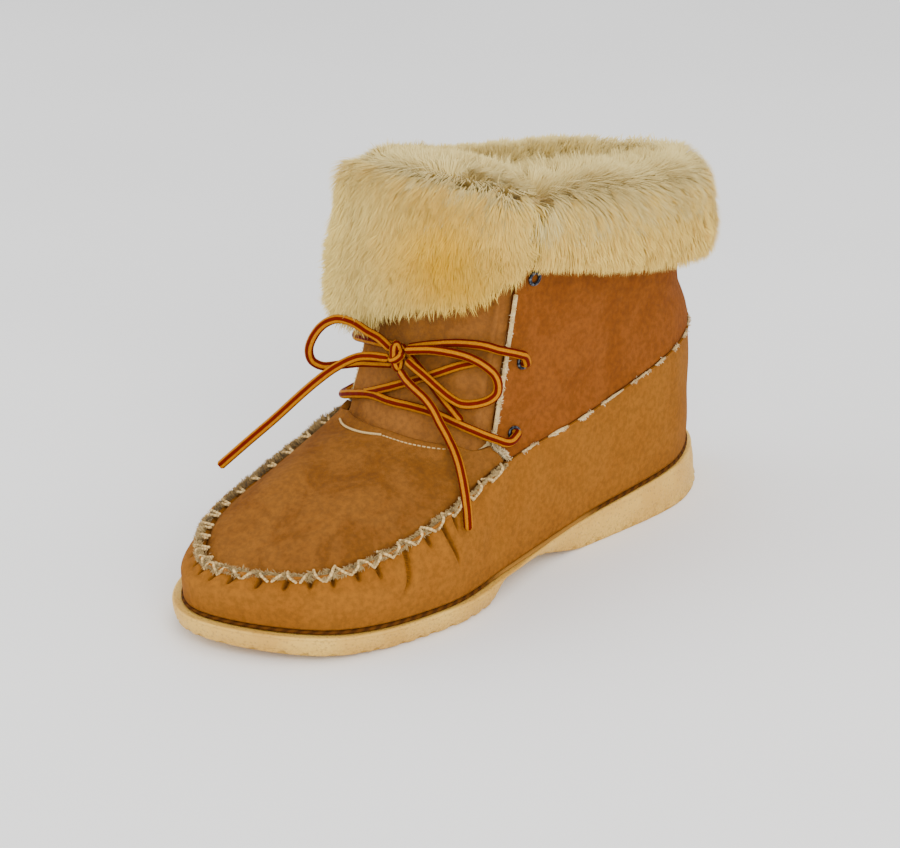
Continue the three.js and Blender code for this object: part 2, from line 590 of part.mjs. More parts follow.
const LOOSE = {
  lace_loop_inner: [[-7.2, -175.5, 99.5], [-12.9, -176.2, 102.4], [-18.3, -178, 104.5], [-24.4, -180.5, 107.5],
    [-30.5, -182.8, 107.8], [-35.5, -185.3, 105.2], [-38.2, -188.3, 101], [-39.5, -191, 94.5], [-39, -190, 89],
    [-36, -187, 86.5], [-31, -182, 87], [-22.5, -177, 89], [-14.5, -175, 90.5], [-7.5, -174.6, 92.2]],
  lace_loop_outer: [[3.4, -175.4, 101.3], [12, -172, 103], [17.5, -169, 103], [24, -167, 103], [29.5, -165.4, 102.4],
    [35, -163, 100], [38.5, -160.5, 96], [39.8, -160, 92], [39.5, -160.5, 88.5], [38, -162.5, 86],
    [34, -166.5, 84], [29, -170, 83.5], [24, -172, 85.5], [18, -173.5, 89], [13, -174.8, 92.3], [8, -175.6, 94.8],
    [4.2, -175.8, 96.5]],
  lace_end_inner: [[-6.2, -178.2, 96], [-13, -180.5, 95.5], [-19, -183, 94], [-24.5, -190, 90], [-28, -197.5, 85],
    [-31, -203.5, 80], [-36, -213.5, 71], [-40.5, -225, 62.5], [-45, -236, 54]],
  lace_end_outer: [[1.5, -177.5, 91.5], [6, -178.6, 89.4], [12, -179.5, 87.5], [17.5, -179.2, 84.8], [21.5, -179, 81.5],
    [24.5, -178.5, 77], [28.5, -177, 70], [38, -181.5, 65.5], [45.2, -185.5, 59], [49.6, -187.8, 50.5], [51.2, -188.5, 42]],
};
const KNOT_AT = [-2, -176.6, 97.6];
const KNOT_SIZE = [4.2, 3.4, 6.5];    // half sizes

// Round tube along a list of points
function cord(points) {
  const curve = new THREE.CatmullRomCurve3(points.map((p) => new THREE.Vector3(...p)), false, 'centripetal');
  const section = new THREE.Shape(span(0, 1, LACE_SIDES).slice(0, -1).map((t) => (
    new THREE.Vector2(Math.cos(2 * Math.PI * t), Math.sin(2 * Math.PI * t)).multiplyScalar(LACE / 2))));
  const steps = Math.round(curve.getLength() / LACE_STEP);
  return solidOfGeometry(new THREE.ExtrudeGeometry(section, { steps, extrudePath: curve, bevelEnabled: false }));
}

function knot() {
  const ball = new THREE.SphereGeometry(1, 8, 6).scale(...KNOT_SIZE).translate(...KNOT_AT);
  return solidOfGeometry(ball);
}

const group = new THREE.Group();
const TAN = 0xb07432;
group.add(meshOf('outsole', outsole(), 0xd9bd85, 0.8));
group.add(meshOf('midsole_strip', strip(), 0x3a2416, 0.9));
group.add(meshOf('insole', insole(), 0xd8cbb0, 0.95));
group.add(meshOf('upper', lower().add(apron()), TAN));
group.add(meshOf('shaft', shaft(), TAN));
group.add(meshOf('tongue', tongue(), TAN));
group.add(meshOf('cuff', cuff(), 0xd8c79d, 1));
group.add(meshOf('tongue_flap', flap(), 0xd8bd7c, 1));
for (const spot of EYELETS) group.add(meshOf(spot.name, eyelet(spot), 0x3b3f4a, 0.4, 0.8));
const box = new THREE.Box3().setFromObject(group);

const GOLD = 0xd08c28;
group.add(meshOf('lace_crossings', wasm.Manifold.union(Object.values(CROSSINGS).map(cord)), GOLD));
group.add(meshOf('lace_knot', knot(), GOLD));
for (const [name, points] of Object.entries(LOOSE)) group.add(meshOf(name, cord(points), GOLD));
const middle = box.getCenter(new THREE.Vector3());
group.position.set(-middle.x, -middle.y, 0);

export default group;
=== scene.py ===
"""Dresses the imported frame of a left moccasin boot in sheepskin: suede, fleece, stitches, sole and lace.

Shapes are worked out in millimetres in the boot's own axes: x to the outer side, along from the heel's back
to the toe, z up. They turn into metres in the frame's axes when a mesh is made.
"""

from __future__ import annotations

import logging
import math
from dataclasses import dataclass, field, replace
from enum import Enum
from typing import Callable, Sequence

import bpy
import numpy as np
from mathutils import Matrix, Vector, noise
from mathutils.kdtree import KDTree

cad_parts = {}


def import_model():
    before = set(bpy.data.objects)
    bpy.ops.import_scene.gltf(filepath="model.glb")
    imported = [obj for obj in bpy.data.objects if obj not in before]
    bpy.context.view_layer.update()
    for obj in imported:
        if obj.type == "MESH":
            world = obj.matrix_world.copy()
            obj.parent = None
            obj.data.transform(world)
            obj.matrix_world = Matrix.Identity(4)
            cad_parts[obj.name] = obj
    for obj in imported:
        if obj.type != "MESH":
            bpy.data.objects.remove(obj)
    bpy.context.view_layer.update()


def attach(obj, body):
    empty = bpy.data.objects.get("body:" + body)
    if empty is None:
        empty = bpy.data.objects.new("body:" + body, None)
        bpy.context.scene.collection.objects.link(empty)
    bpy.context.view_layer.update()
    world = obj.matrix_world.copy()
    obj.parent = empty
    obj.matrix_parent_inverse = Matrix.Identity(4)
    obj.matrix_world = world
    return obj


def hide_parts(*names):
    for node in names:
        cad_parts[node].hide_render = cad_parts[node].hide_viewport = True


LOG = logging.getLogger("boot")
Array = np.ndarray
Points = Sequence[Sequence[float]]

MM = 0.001
TAU = 2 * math.pi
ORIGIN = (-1.249, 142.0)     # the boot's middle in plan, from its heel zero: x and y in mm

# The last's driving sizes, in mm, as the solids have them
LENGTH = 284.0
BALL_WIDTH = 107.0
HEEL_HEIGHT = 18.5
FORE_HEIGHT = 9.6
TOE_SPRING = 6.0
ARCH_RISE = 8.0
SHAFT_RISE = 151.0
WALL = 3.0
APRON_WALL = 2.4
STRIP = 1.6
GAP = 0.3
RIDGE = 2.8
SIDE_STEP = 0.9
TONGUE_WALL = 2.4
TONGUE_FACE = -0.8
CUFF_THICK = 17.0
FLAP_THICK = 18.0
PILE = 6.0
FLEECE_RISE = 10.0
EYELET_INSET = 0.018
LACE = 3.8
SEAT = FORE_HEIGHT + STRIP + 2 * GAP

# Turns round the last run from the heel's back (0) by the outer side to the toe (0.5) and home
INSTEP = 3 / 12
SEAM, THROAT, COLLAR = 2, 4, 6


class Side(Enum):
    """The two sides of the boot, as the way that turns go."""

    OUTER = 1
    INNER = -1


class Fold(Enum):
    """The two pieces of turned-down fleece, by the frame's nodes."""

    CUFF = "cuff"
    FLAP = "tongue_flap"

    @property
    def slot(self) -> str:
        """Name of the slot for its finish."""
        return "cuff_fleece" if self is Fold.CUFF else "flap_fleece"


class Blend(Enum):
    """Ways that two colours mix."""

    MIX = "MIX"
    MULTIPLY = "MULTIPLY"
    SOFT_LIGHT = "SOFT_LIGHT"


@dataclass(frozen=True)
class Loop:
    """One loop of the last at seven stations: along is a share of LENGTH, half and centre of BALL_WIDTH."""

    along: tuple[float, ...]
    half: tuple[float, ...]
    centre: tuple[float, ...]
    rise: tuple[float, ...] = (0.0,) * 7
    skew: float = 0.0
    tilt: float = 0.0
    on_sole: bool = False

    def ring(self, seat: float) -> Array:
        """Key points round the loop.

        Args:
            seat: Height that the rises start from.

        Returns:
            Twelve rows of x, along and z.
        """
        base = 0.0 if self.on_sole else seat

        def point(station: int, side: int) -> tuple[float, float, float]:
            """One key point of the loop.

            Args:
                station: Its station, from the heel to the toe.
                side: 1 on the outer side and -1 on the inner one.

            Returns:
                Its x, along and z.
            """
            x = BALL_WIDTH * (self.centre[station] + side * self.half[station])
            return (x, LENGTH * self.along[station] - self.skew * x,
                    base + SHAFT_RISE * self.rise[station] - self.tilt * x)

        outer = [point(station, 1) for station in range(7)]
        inner = [point(station, -1) for station in range(5, 0, -1)]
        return np.array(outer + inner)


SOLE_BOTTOM = Loop(
    along=(0.000, 0.130, 0.416, 0.560, 0.694, 0.894, 0.993),
    half=(0.000, 0.336, 0.345, 0.407, 0.473, 0.381, 0.000),
    centre=(0.019, 0.009, 0.019, 0.009, 0.000, -0.043, -0.107))
SOLE_TOP = Loop(
    along=(0.012, 0.137, 0.416, 0.560, 0.694, 0.896, 1.000),
    half=(0.000, 0.329, 0.366, 0.439, 0.500, 0.402, 0.000),
    centre=(0.019, 0.009, 0.014, 0.009, 0.000, -0.043, -0.107))
FORM = (
    Loop(along=(0.021, 0.144, 0.380, 0.560, 0.711, 0.887, 0.984),
         half=(0.000, 0.313, 0.358, 0.421, 0.475, 0.374, 0.000),
         centre=(0.019, 0.009, 0.009, 0.000, 0.000, -0.036, -0.103), on_sole=True),
    Loop(along=(0.021, 0.144, 0.373, 0.560, 0.718, 0.884, 0.988),
         half=(0.000, 0.322, 0.377, 0.425, 0.481, 0.383, 0.000),
         centre=(0.019, 0.009, 0.009, 0.000, 0.000, -0.036, -0.103),
         rise=(0.171, 0.158, 0.138, 0.125, 0.105, 0.079, 0.066), on_sole=True),
    Loop(along=(0.033, 0.148, 0.366, 0.560, 0.739, 0.884, 0.955),
         half=(0.000, 0.308, 0.379, 0.388, 0.390, 0.299, 0.000),
         centre=(0.019, 0.009, 0.009, 0.012, 0.018, 0.000, -0.075),
         rise=(0.445, 0.435, 0.366, 0.319, 0.217, 0.160, 0.130), skew=0.05, tilt=0.03),
    Loop(along=(0.042, 0.151, 0.366, 0.570, 0.690, 0.789, 0.824),
         half=(0.000, 0.303, 0.373, 0.376, 0.322, 0.185, 0.000),
         centre=(0.019, 0.009, 0.009, 0.009, 0.009, 0.000, -0.028),
         rise=(0.491, 0.478, 0.412, 0.342, 0.290, 0.272, 0.250), skew=0.08, tilt=0.02),
    Loop(along=(0.053, 0.158, 0.366, 0.581, 0.623, 0.643, 0.648),
         half=(0.000, 0.299, 0.364, 0.364, 0.262, 0.131, 0.000),
         centre=(0.019, 0.009, 0.009, 0.000, 0.000, 0.000, 0.000),
         rise=(0.544, 0.518, 0.465, 0.359, 0.359, 0.362, 0.366), skew=0.10),
    Loop(along=(0.069, 0.169, 0.366, 0.549, 0.573, 0.587, 0.592),
         half=(0.000, 0.290, 0.355, 0.346, 0.262, 0.140, 0.000),
         centre=(0.019, 0.009, 0.009, 0.000, 0.000, 0.000, 0.000),
         rise=(0.617, 0.611, 0.597, 0.577, 0.571, 0.571, 0.571), skew=0.10),
    Loop(along=(0.079, 0.173, 0.359, 0.521, 0.542, 0.555, 0.560),
         half=(0.000, 0.299, 0.364, 0.374, 0.271, 0.140, 0.000),
         centre=(0.019, 0.009, 0.009, 0.000, 0.000, 0.000, 0.000),
         rise=(0.868, 0.880, 0.925, 0.975, 0.988, 0.998, 1.000), skew=0.10),
)
# Row that the fleece's lower edge follows, at each twelfth of the way round
HEM = (5.38, 5.48, 5.64, 5.76, 5.60, 5.52, 5.45, 5.36, 5.20, 5.20, 5.38, 5.38)


def smooth(low: float, high: float, x: Array | float) -> Array:
    """Soft step from 0 at low to 1 at high."""
    t = np.clip((np.asarray(x, float) - low) / (high - low), 0, 1)
    return t * t * (3 - 2 * t)


def mix(a: Array | float, b: Array | float, t: Array | float) -> Array:
    """Blend of a and b by t."""
    return a + (b - a) * np.asarray(t, float)


def cubic(points: Sequence[Array], f: Array | float) -> Array:
    """Catmull-Rom cubic between the middle two of four points.

    Args:
        points: The four points.
        f: Share of the way from the second to the third.

    Returns:
        The place.
    """
    a, b, c, d = points
    return 0.5 * (2 * b + (c - a) * f + (2 * a - 5 * b + 4 * c - d) * f ** 2
                  + (3 * b - a - 3 * c + d) * f ** 3)


def closed_curve(points: Array, turns: Array) -> Array:
    """Closed Catmull-Rom curve.

    Args:
        points: Key points, one row each.
        turns: Places on the curve, 0 to 1 once round.

    Returns:
        One row for each turn.
    """
    count = len(points)
    place = np.mod(turns, 1.0) * count
    index = np.floor(place).astype(int)
    f = (place - index)[:, None]
    return cubic([points[(index + k) % count] for k in (-1, 0, 1, 2)], f)


def through(values: Array, rows: Array) -> Array:
    """Monotone cubic through values one row apart, straight on beyond both ends.

    Args:
        values: Rows by points by axes.
        rows: The row that each point is read at.

    Returns:
        Points by axes.
    """
    end = len(values) - 1
    rise = np.diff(values, axis=0)
    slope = np.empty_like(values)
    slope[0], slope[-1] = rise[0], rise[-1]
    product = rise[:-1] * rise[1:]
    total = rise[:-1] + rise[1:]
    slope[1:-1] = np.where(product > 0, 2 * product / np.where(total == 0, 1, total), 0)
    index = np.clip(np.floor(rows).astype(int), 0, end - 1)
    each = np.arange(len(rows))
    f = (rows - index)[:, None]
    a, b = values[index, each], values[index + 1, each]
    p, q = slope[index, each], slope[index + 1, each]
    inside = (a * (1 + 2 * f) * (1 - f) ** 2 + p * f * (1 - f) ** 2 + b * f * f * (3 - 2 * f)
              + q * f * f * (f - 1))
    below = values[0, each] + slope[0, each] * rows[:, None]
    above = values[end, each] + slope[end, each] * (rows[:, None] - end)
    return np.where(rows[:, None] < 0, below, np.where(rows[:, None] > end, above, inside))


def spring(along: Array) -> Array:
    """Share of the toe spring at a place along the sole."""
    return np.maximum(0, (along / LENGTH - 0.74) / 0.26) ** 1.8


def sole_bottom(along: Array) -> Array:
    """Height of the sole's underside, with its arch and toe spring."""
    s = along / LENGTH
    return ARCH_RISE * smooth(0.36, 0.50, s) * (1 - smooth(0.57, 0.605, s)) + TOE_SPRING * spring(along)


def sole_top(along: Array) -> Array:
    """Height of the sole's upper face."""
    drop = smooth(0.10, 0.66, along / LENGTH)
    return mix(HEEL_HEIGHT, FORE_HEIGHT, drop) + 0.7 * TOE_SPRING * spring(along)


class Last:
    """The last's surface: u is the turn round it, v the row from the feather line (0) to the collar (6)."""

    def __init__(self) -> None:
        """Works the key rings out of the form tables."""
        self.rings = [loop.ring(SEAT) for loop in FORM]

    def surface(self, u: Array, v: Array) -> Array:
        """Points on the last's surface.

        Args:
            u: Turns.
            v: Rows.

        Returns:
            Rows of x, along and z.
        """
        columns = []
        for loop, ring in zip(FORM, self.rings):
            points = closed_curve(ring, u)
            if loop.on_sole:
                points = points.copy()
                points[:, 2] += sole_top(points[:, 1]) + STRIP + 2 * GAP
            columns.append(points)
        return through(np.stack(columns), v)

    def place(self, u: Array, v: Array, n: Array | float = 0.0, lift: Array | float = 0.0) -> Array:
        """Points moved out of the surface.

        Args:
            u: Turns.
            v: Rows.
            n: Distance along the outward normal.
            lift: Distance up.

        Returns:
            Rows of x, along and z.
        """
        u, v, n, lift = (np.array(q, float).ravel() for q in np.broadcast_arrays(u, v, n, lift))
        du, dv = mix(0.004, 0.03, smooth(THROAT, THROAT + 1, v)), 0.04
        across = self.surface(u + du, v) - self.surface(u - du, v)
        up = self.surface(u, np.minimum(v + dv, COLLAR)) - self.surface(u, np.minimum(v, COLLAR) - dv)
        normal = np.cross(across, up)
        normal[:, 2] *= smooth(0, 0.6, v)
        normal /= np.linalg.norm(normal, axis=1)[:, None]
        points = self.surface(u, v)
        moved = points + normal * n[:, None]
        level = np.where(v <= 0, sole_top(moved[:, 1]) - sole_top(points[:, 1]), 0)
        moved[:, 2] += lift + level
        return moved


LAST = Last()


def to_frame(points: Array) -> Array:
    """Turns rows of x, along and z in mm into metres in the frame's axes."""
    return np.column_stack([points[:, 0] + ORIGIN[0], ORIGIN[1] - points[:, 1], points[:, 2]]) * MM


def lace_frame(points: Points) -> Array:
    """Turns a lace's listed points, x, -along and z in mm, into metres in the frame's axes."""
    listed = np.array(points, float)
    return np.column_stack([listed[:, 0] + ORIGIN[0], listed[:, 1] + ORIGIN[1], listed[:, 2]]) * MM


def edge_distance(u: Array) -> Array:
    """How far a turn is from the quarters' front edge."""
    turn = np.mod(u, 1.0)
    return np.abs(INSTEP - np.minimum(turn, 1 - turn))


def mesh_from(name: str, points: Array, faces: Array) -> bpy.types.Object:
    """Makes a mesh object, its faces shaded smooth.

    Args:
        name: The piece's name.
        points: Rows of x, y and z in metres.
        faces: Rows of corner numbers, of one length each.

    Returns:
        The object, linked to the scene.
    """
    mesh = bpy.data.meshes.new(name)
    faces = np.asarray(faces, np.int32)
    count, corners = faces.shape
    mesh.vertices.add(len(points))
    mesh.vertices.foreach_set("co", np.asarray(points, np.float32).ravel())
    mesh.loops.add(count * corners)
    mesh.loops.foreach_set("vertex_index", faces.ravel())
    mesh.polygons.add(count)
    mesh.polygons.foreach_set("loop_start", np.arange(0, count * corners, corners, dtype=np.int32))
    mesh.polygons.foreach_set("use_smooth", np.full(count, True))
    mesh.update(calc_edges=True)
    mesh.validate()
    piece = bpy.data.objects.new(name, mesh)
    bpy.context.scene.collection.objects.link(piece)
    return piece


def grid_faces(rows: int, columns: int, round_rows: bool, round_columns: bool) -> Array:
    """Quads of a grid of points.

    Args:
        rows: Rows of points.
        columns: Points in a row.
        round_rows: Whether the last row joins the first.
        round_columns: Whether a row's last point joins its first.

    Returns:
        Rows of four corner numbers.
    """
    i = np.arange(rows if round_rows else rows - 1)
    j = np.arange(columns if round_columns else columns - 1)
    i, j = (q.ravel() for q in np.meshgrid(i, j, indexing="ij"))
    i2, j2 = (i + 1) % rows, (j + 1) % columns
    return np.column_stack([i * columns + j, i2 * columns + j, i2 * columns + j2, i * columns + j2])


def only(piece: bpy.types.Object) -> None:
    """Selects one object alone and makes it active.

    Args:
        piece: The object.
    """
    bpy.ops.object.select_all(action="DESELECT")
    piece.select_set(True)
    bpy.context.view_layer.objects.active = piece


def face_outwards(piece: bpy.types.Object) -> None:
    """Turns all of a closed mesh's faces outwards.

    Args:
        piece: The object.
    """
    only(piece)
    bpy.ops.object.mode_set(mode="EDIT")
    bpy.ops.mesh.select_all(action="SELECT")
    bpy.ops.mesh.remove_doubles(threshold=1e-6)
    bpy.ops.mesh.normals_make_consistent(inside=False)
    bpy.ops.object.mode_set(mode="OBJECT")
    piece.select_set(False)


def close_ends(piece: bpy.types.Object) -> None:
    """Closes a mesh's open ends and turns its faces outwards.

    Args:
        piece: The object.
    """
    only(piece)
    bpy.ops.object.mode_set(mode="EDIT")
    bpy.ops.mesh.select_all(action="DESELECT")
    bpy.ops.mesh.select_non_manifold()
    bpy.ops.mesh.fill_holes(sides=0)
    bpy.ops.object.mode_set(mode="OBJECT")
    face_outwards(piece)


def swept(name: str, turns: Array, section: Callable[[Array], list[tuple]], closed: bool) -> bpy.types.Object:
    """Makes a closed body swept round the last.

    Args:
        name: The piece's name.
        turns: The turns that it passes.
        section: Gives the section's corners, each a row, a distance out and a lift for all the turns.
        closed: Whether it goes all the way round.

    Returns:
        The object, its faces outwards and its ends closed.
    """
    corners = [LAST.place(turns, v, n, lift) for v, n, lift in section(turns)]
    points = to_frame(np.stack(corners, axis=1).reshape(-1, 3))
    piece = mesh_from(name, points, grid_faces(len(turns), len(corners), closed, True))
    if closed:
        face_outwards(piece)
    else:
        close_ends(piece)
    return piece


def finish_piece(piece: bpy.types.Object, material: bpy.types.Material, slot: str, *nodes: str) -> None:
    """Dresses a finished piece and puts it on the boot.

    Args:
        piece: The piece.
        material: Its finish.
        slot: Not used.
        nodes: The frame's nodes that it stands for.
    """
    piece.data.materials.clear()
    piece.data.materials.append(material)
    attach(piece, "root")
    if nodes:
        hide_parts(*nodes)
    LOG.info("%s: %d faces", piece.name, len(piece.data.polygons))


Colour = tuple[float, float, float]


def linear(red: int, green: int, blue: int) -> tuple[float, float, float, float]:
    """Scene-linear colour of a screen colour.

    Args:
        red: Red, 0 to 255.
        green: Green, 0 to 255.
        blue: Blue, 0 to 255.

    Returns:
        The colour with its alpha.
    """
    shares = [value / 255 for value in (red, green, blue)]
    return (*(c / 12.92 if c <= 0.04045 else ((c + 0.055) / 1.055) ** 2.4 for c in shares), 1.0)


class Graph:
    """A node tree while it is wired."""

    def __init__(self, tree: bpy.types.NodeTree) -> None:
        """Starts with the tree empty."""
        self.tree = tree
        tree.nodes.clear()

    @staticmethod
    def of_material(name: str) -> tuple[bpy.types.Material, Graph]:
        """Starts a material.

        Args:
            name: Its name.

        Returns:
            The material and its graph.
        """
        material = bpy.data.materials.new(name)
        material.use_nodes = True
        return material, Graph(material.node_tree)

    def surface(self, inputs: dict) -> None:
        """Ends a material with its shader."""
        shader = self.add("BsdfPrincipled", inputs)
        self.link(shader.outputs[0], self.add("OutputMaterial").inputs[0])

    def link(self, start: bpy.types.NodeSocket, end: bpy.types.NodeSocket) -> None:
        """Joins an output to an input."""
        self.tree.links.new(start, end)

    def add(self, kind: str, inputs: dict | None = None, **settings: object) -> bpy.types.Node:
        """Adds a node.

        Args:
            kind: The node's type, without its leading word.
            inputs: For each input, a value or the socket that feeds it.
            settings: The node's own properties.

        Returns:
            The node.
        """
        node = self.tree.nodes.new("ShaderNode" + kind)
        for name, value in settings.items():
            setattr(node, name, value)
        for key, value in (inputs or {}).items():
            socket = node.inputs[key]
            if isinstance(value, bpy.types.NodeSocket):
                self.link(value, socket)
            else:
                socket.default_value = value
        return node

    def noise(self, coords: bpy.types.NodeSocket, scale: object, detail: float = 3.0, rough: float = 0.55,
              distortion: float = 0.0) -> bpy.types.NodeSocket:
        """Noise texture.

        Args:
            coords: Where it is read.
            scale: Its scale, a number or a socket.
            detail: Its octaves.
            rough: How strong the finer ones are.
            distortion: How far it is swirled.

        Returns:
            Its value.
        """
        node = self.add("TexNoise", {"Vector": coords, "Scale": scale, "Detail": detail, "Roughness": rough,
                                     "Distortion": distortion})
        return node.outputs["Fac"]

    def ramp(self, value: bpy.types.NodeSocket, low: float, high: float, a: float = 0.0,
             b: float = 1.0) -> bpy.types.NodeSocket:
        """Soft step.

        Args:
            value: What is stepped.
            low: Where it starts.
            high: Where it ends.
            a: Result at low.
            b: Result at high.

        Returns:
            The result.
        """
        inputs = {"Value": value, "From Min": low, "From Max": high, "To Min": a, "To Max": b}
        return self.add("MapRange", inputs, interpolation_type="SMOOTHSTEP").outputs["Result"]

    def math(self, kind: str, a: object, b: object = 0.0) -> bpy.types.NodeSocket:
        """Arithmetic on two values."""
        return self.add("Math", {0: a, 1: b}, operation=kind).outputs[0]

    def blend(self, share: object, a: object, b: object, kind: Blend = Blend.MIX) -> bpy.types.NodeSocket:
        """Mix of two colours."""
        node = self.add("Mix", {0: share, 6: a, 7: b}, data_type="RGBA", blend_type=kind.value)
        return node.outputs[2]

    def bump(self, height: bpy.types.NodeSocket, distance: float, strength: float) -> bpy.types.NodeSocket:
        """Bumped normal from a height."""
        return self.add("Bump", {"Height": height, "Distance": distance, "Strength": strength}).outputs[0]


def new_group(name: str, wanted: dict[str, float], given: Sequence[str]) -> tuple[Graph, dict, dict]:
    """Starts a shared node group.

    Args:
        name: The group's name.
        wanted: Value inputs and their defaults, besides the coordinates.
        given: Value outputs.

    Returns:
        The graph, its input sockets and its output sockets, by name.
    """
    tree = bpy.data.node_groups.new(name, "ShaderNodeTree")
    graph = Graph(tree)
    tree.interface.new_socket("Coords", in_out="INPUT", socket_type="NodeSocketVector")
    for key, value in wanted.items():
        socket = tree.interface.new_socket(key, in_out="INPUT", socket_type="NodeSocketFloat")
        socket.default_value = value
    for key in given:
        tree.interface.new_socket(key, in_out="OUTPUT", socket_type="NodeSocketFloat")
    start = tree.nodes.new("NodeGroupInput")
    end = tree.nodes.new("NodeGroupOutput")
    return graph, {s.name: s for s in start.outputs if s.name}, {s.name: s for s in end.inputs if s.name}


def nap_group() -> bpy.types.NodeTree:
    """Short brushed nap: soft patches where it lies the other way, small flecks, and its height.

    Returns:
        The group.
    """
    given = ("Patches", "Flecks", "Height")
    graph, start, end = new_group("brushed nap", {"Patch": 45.0, "Fleck": 420.0}, given)
    patches = graph.noise(start["Coords"], start["Patch"], 4.0, 0.62, 0.6)
    flecks = graph.noise(start["Coords"], start["Fleck"], 3.0, 0.6)
    fine = graph.noise(start["Coords"], 1900.0, 2.0, 0.5)
    graph.link(graph.ramp(patches, 0.36, 0.66), end["Patches"])
    graph.link(graph.ramp(flecks, 0.3, 0.7), end["Flecks"])
    height = graph.math("ADD", graph.math("MULTIPLY", flecks, 0.6), graph.math("MULTIPLY", fine, 0.4))
    graph.link(height, end["Height"])
    return graph.tree


def wool_group() -> bpy.types.NodeTree:
    """Crimped wool: locks as soft cells, and the strands in them.

    Returns:
        The group.
    """
    graph, start, end = new_group("crimped wool", {"Lock": 260.0}, ("Locks", "Height"))
    warp = graph.add("TexNoise", {"Vector": start["Coords"], "Scale": 300.0, "Detail": 2.0}).outputs["Color"]
    bent = graph.add("VectorMath", {0: warp, 1: (0.006, 0.006, 0.006)}, operation="MULTIPLY").outputs[0]
    coords = graph.add("VectorMath", {0: start["Coords"], 1: bent}, operation="ADD").outputs[0]
    cells = graph.add("TexVoronoi", {"Vector": coords, "Scale": start["Lock"], "Smoothness": 0.6},
                      feature="SMOOTH_F1").outputs["Distance"]
    strands = graph.noise(coords, 1400.0, 3.0, 0.7)
    locks = graph.ramp(cells, 0.05, 0.75, 1.0, 0.0)
    graph.link(locks, end["Locks"])
    graph.link(graph.math("ADD", locks, graph.math("MULTIPLY", strands, 0.5)), end["Height"])
    return graph.tree


@dataclass(frozen=True)
class Suede:
    """Brushed suede."""

    name: str
    light: Colour
    dark: Colour
    patch_share: float = 0.6

    def material(self, nap: bpy.types.NodeTree) -> bpy.types.Material:
        """Builds the finish.

        Args:
            nap: The shared nap group.

        Returns:
            The material.
        """
        material, graph = Graph.of_material(self.name)
        coords = graph.add("TexCoord").outputs["Object"]
        group = graph.add("Group", node_tree=nap)
        graph.link(coords, group.inputs["Coords"])
        painted_shade_and_tint = graph.add("Attribute", attribute_name="painted_shade_and_tint").outputs["Fac"]
        base = graph.blend(graph.math("MULTIPLY", group.outputs["Patches"], self.patch_share),
                           linear(*self.light), linear(*self.dark))
        # Darker where the point attribute says: painted shade in the lower's gathers, a darker band near the
        # sole, a slight darkening of the tongue.
        base = graph.blend(painted_shade_and_tint, base, linear(*(round(0.62 * c) for c in self.dark)))
        flecked = graph.blend(0.30, base, graph.blend(group.outputs["Flecks"], linear(120, 70, 25),
                                                      linear(240, 190, 120)), Blend.SOFT_LIGHT)
        normal = graph.bump(group.outputs["Height"], 0.00045, 0.9)
        graph.surface({"Base Color": flecked, "Roughness": 0.92, "Normal": normal,
                       "Sheen Weight": 0.06, "Sheen Roughness": 0.45, "Sheen Tint": linear(*self.light),
                       "Specular IOR Level": 0.06})
        return material


@dataclass(frozen=True)
class Wool:
    """Shearling: its strands, or the skin under them."""

    name: str
    root: Colour
    tip: Colour
    warm: Colour = (232, 176, 84)
    skin: bool = False

    def material(self, wool: bpy.types.NodeTree) -> bpy.types.Material:
        """Builds the finish.

        Args:
            wool: The shared wool group.

        Returns:
            The material.
        """
        material, graph = Graph.of_material(self.name)
        coords = graph.add("TexCoord").outputs["Object"]
        inputs = {"Roughness": 0.85, "Sheen Weight": 0.1, "Sheen Roughness": 0.5, "Specular IOR Level": 0.15}
        if self.skin:
            group = graph.add("Group", node_tree=wool)
            graph.link(coords, group.inputs["Coords"])
            inputs["Base Color"] = graph.blend(group.outputs["Locks"], linear(*self.root), linear(*self.tip))
            inputs["Normal"] = graph.bump(group.outputs["Height"], 0.0016, 0.8)
        else:
            tone = graph.add("Attribute", attribute_name="tone")
            share = graph.add("SeparateColor", {0: tone.outputs["Color"]})
            along = graph.blend(share.outputs[0], linear(*self.root), linear(*self.tip))
            along = graph.blend(share.outputs[2], along, linear(*self.warm))
            drift = graph.ramp(graph.noise(coords, 60.0, 3.0), 0.35, 0.7)
            shade = graph.blend(graph.math("MULTIPLY", share.outputs[1], 0.35), along,
                                linear(*(round(0.78 * c) for c in self.root)))
            inputs["Base Color"] = graph.blend(graph.math("MULTIPLY", drift, 0.25), shade, linear(*self.root))
        graph.surface(inputs)
        return material


@dataclass(frozen=True)
class Rubber:
    """Cream crepe rubber: pitted, marked by its mould and a little darker low down."""

    name: str
    light: Colour
    dark: Colour

    def material(self) -> bpy.types.Material:
        """Builds the finish.

        Returns:
            The material.
        """
        material, graph = Graph.of_material(self.name)
        coords = graph.add("TexCoord").outputs["Object"]
        drift = graph.ramp(graph.noise(coords, 30.0, 4.0, 0.6), 0.35, 0.7)
        pits = graph.add("TexVoronoi", {"Vector": coords, "Scale": 620.0}).outputs["Distance"]
        holes = graph.ramp(pits, 0.12, 0.42)
        grain = graph.noise(coords, 900.0, 3.0, 0.65)
        low = graph.ramp(graph.add("SeparateXYZ", {0: coords}).outputs[2], 0.0, 0.012, 1.0, 0.0)
        base = graph.blend(drift, linear(*self.light), linear(*self.dark))
        # Darker towards the bottom of the sole, broken up by the grain.
        darker_low = graph.blend(graph.math("MULTIPLY", low, graph.ramp(grain, 0.4, 0.65, 0.1, 0.55)), base,
                             linear(*(round(0.72 * c) for c in self.dark)))
        pitted = graph.blend(graph.ramp(holes, 0.0, 1.0, 0.35, 0.0), darker_low, linear(150, 112, 66))
        height = graph.math("ADD", graph.math("MULTIPLY", holes, 0.5), graph.math("MULTIPLY", grain, 0.7))
        graph.surface({"Base Color": pitted, "Roughness": graph.ramp(grain, 0.3, 0.7, 0.5, 0.75),
                       "Normal": graph.bump(height, 0.0005, 0.7)})
        return material


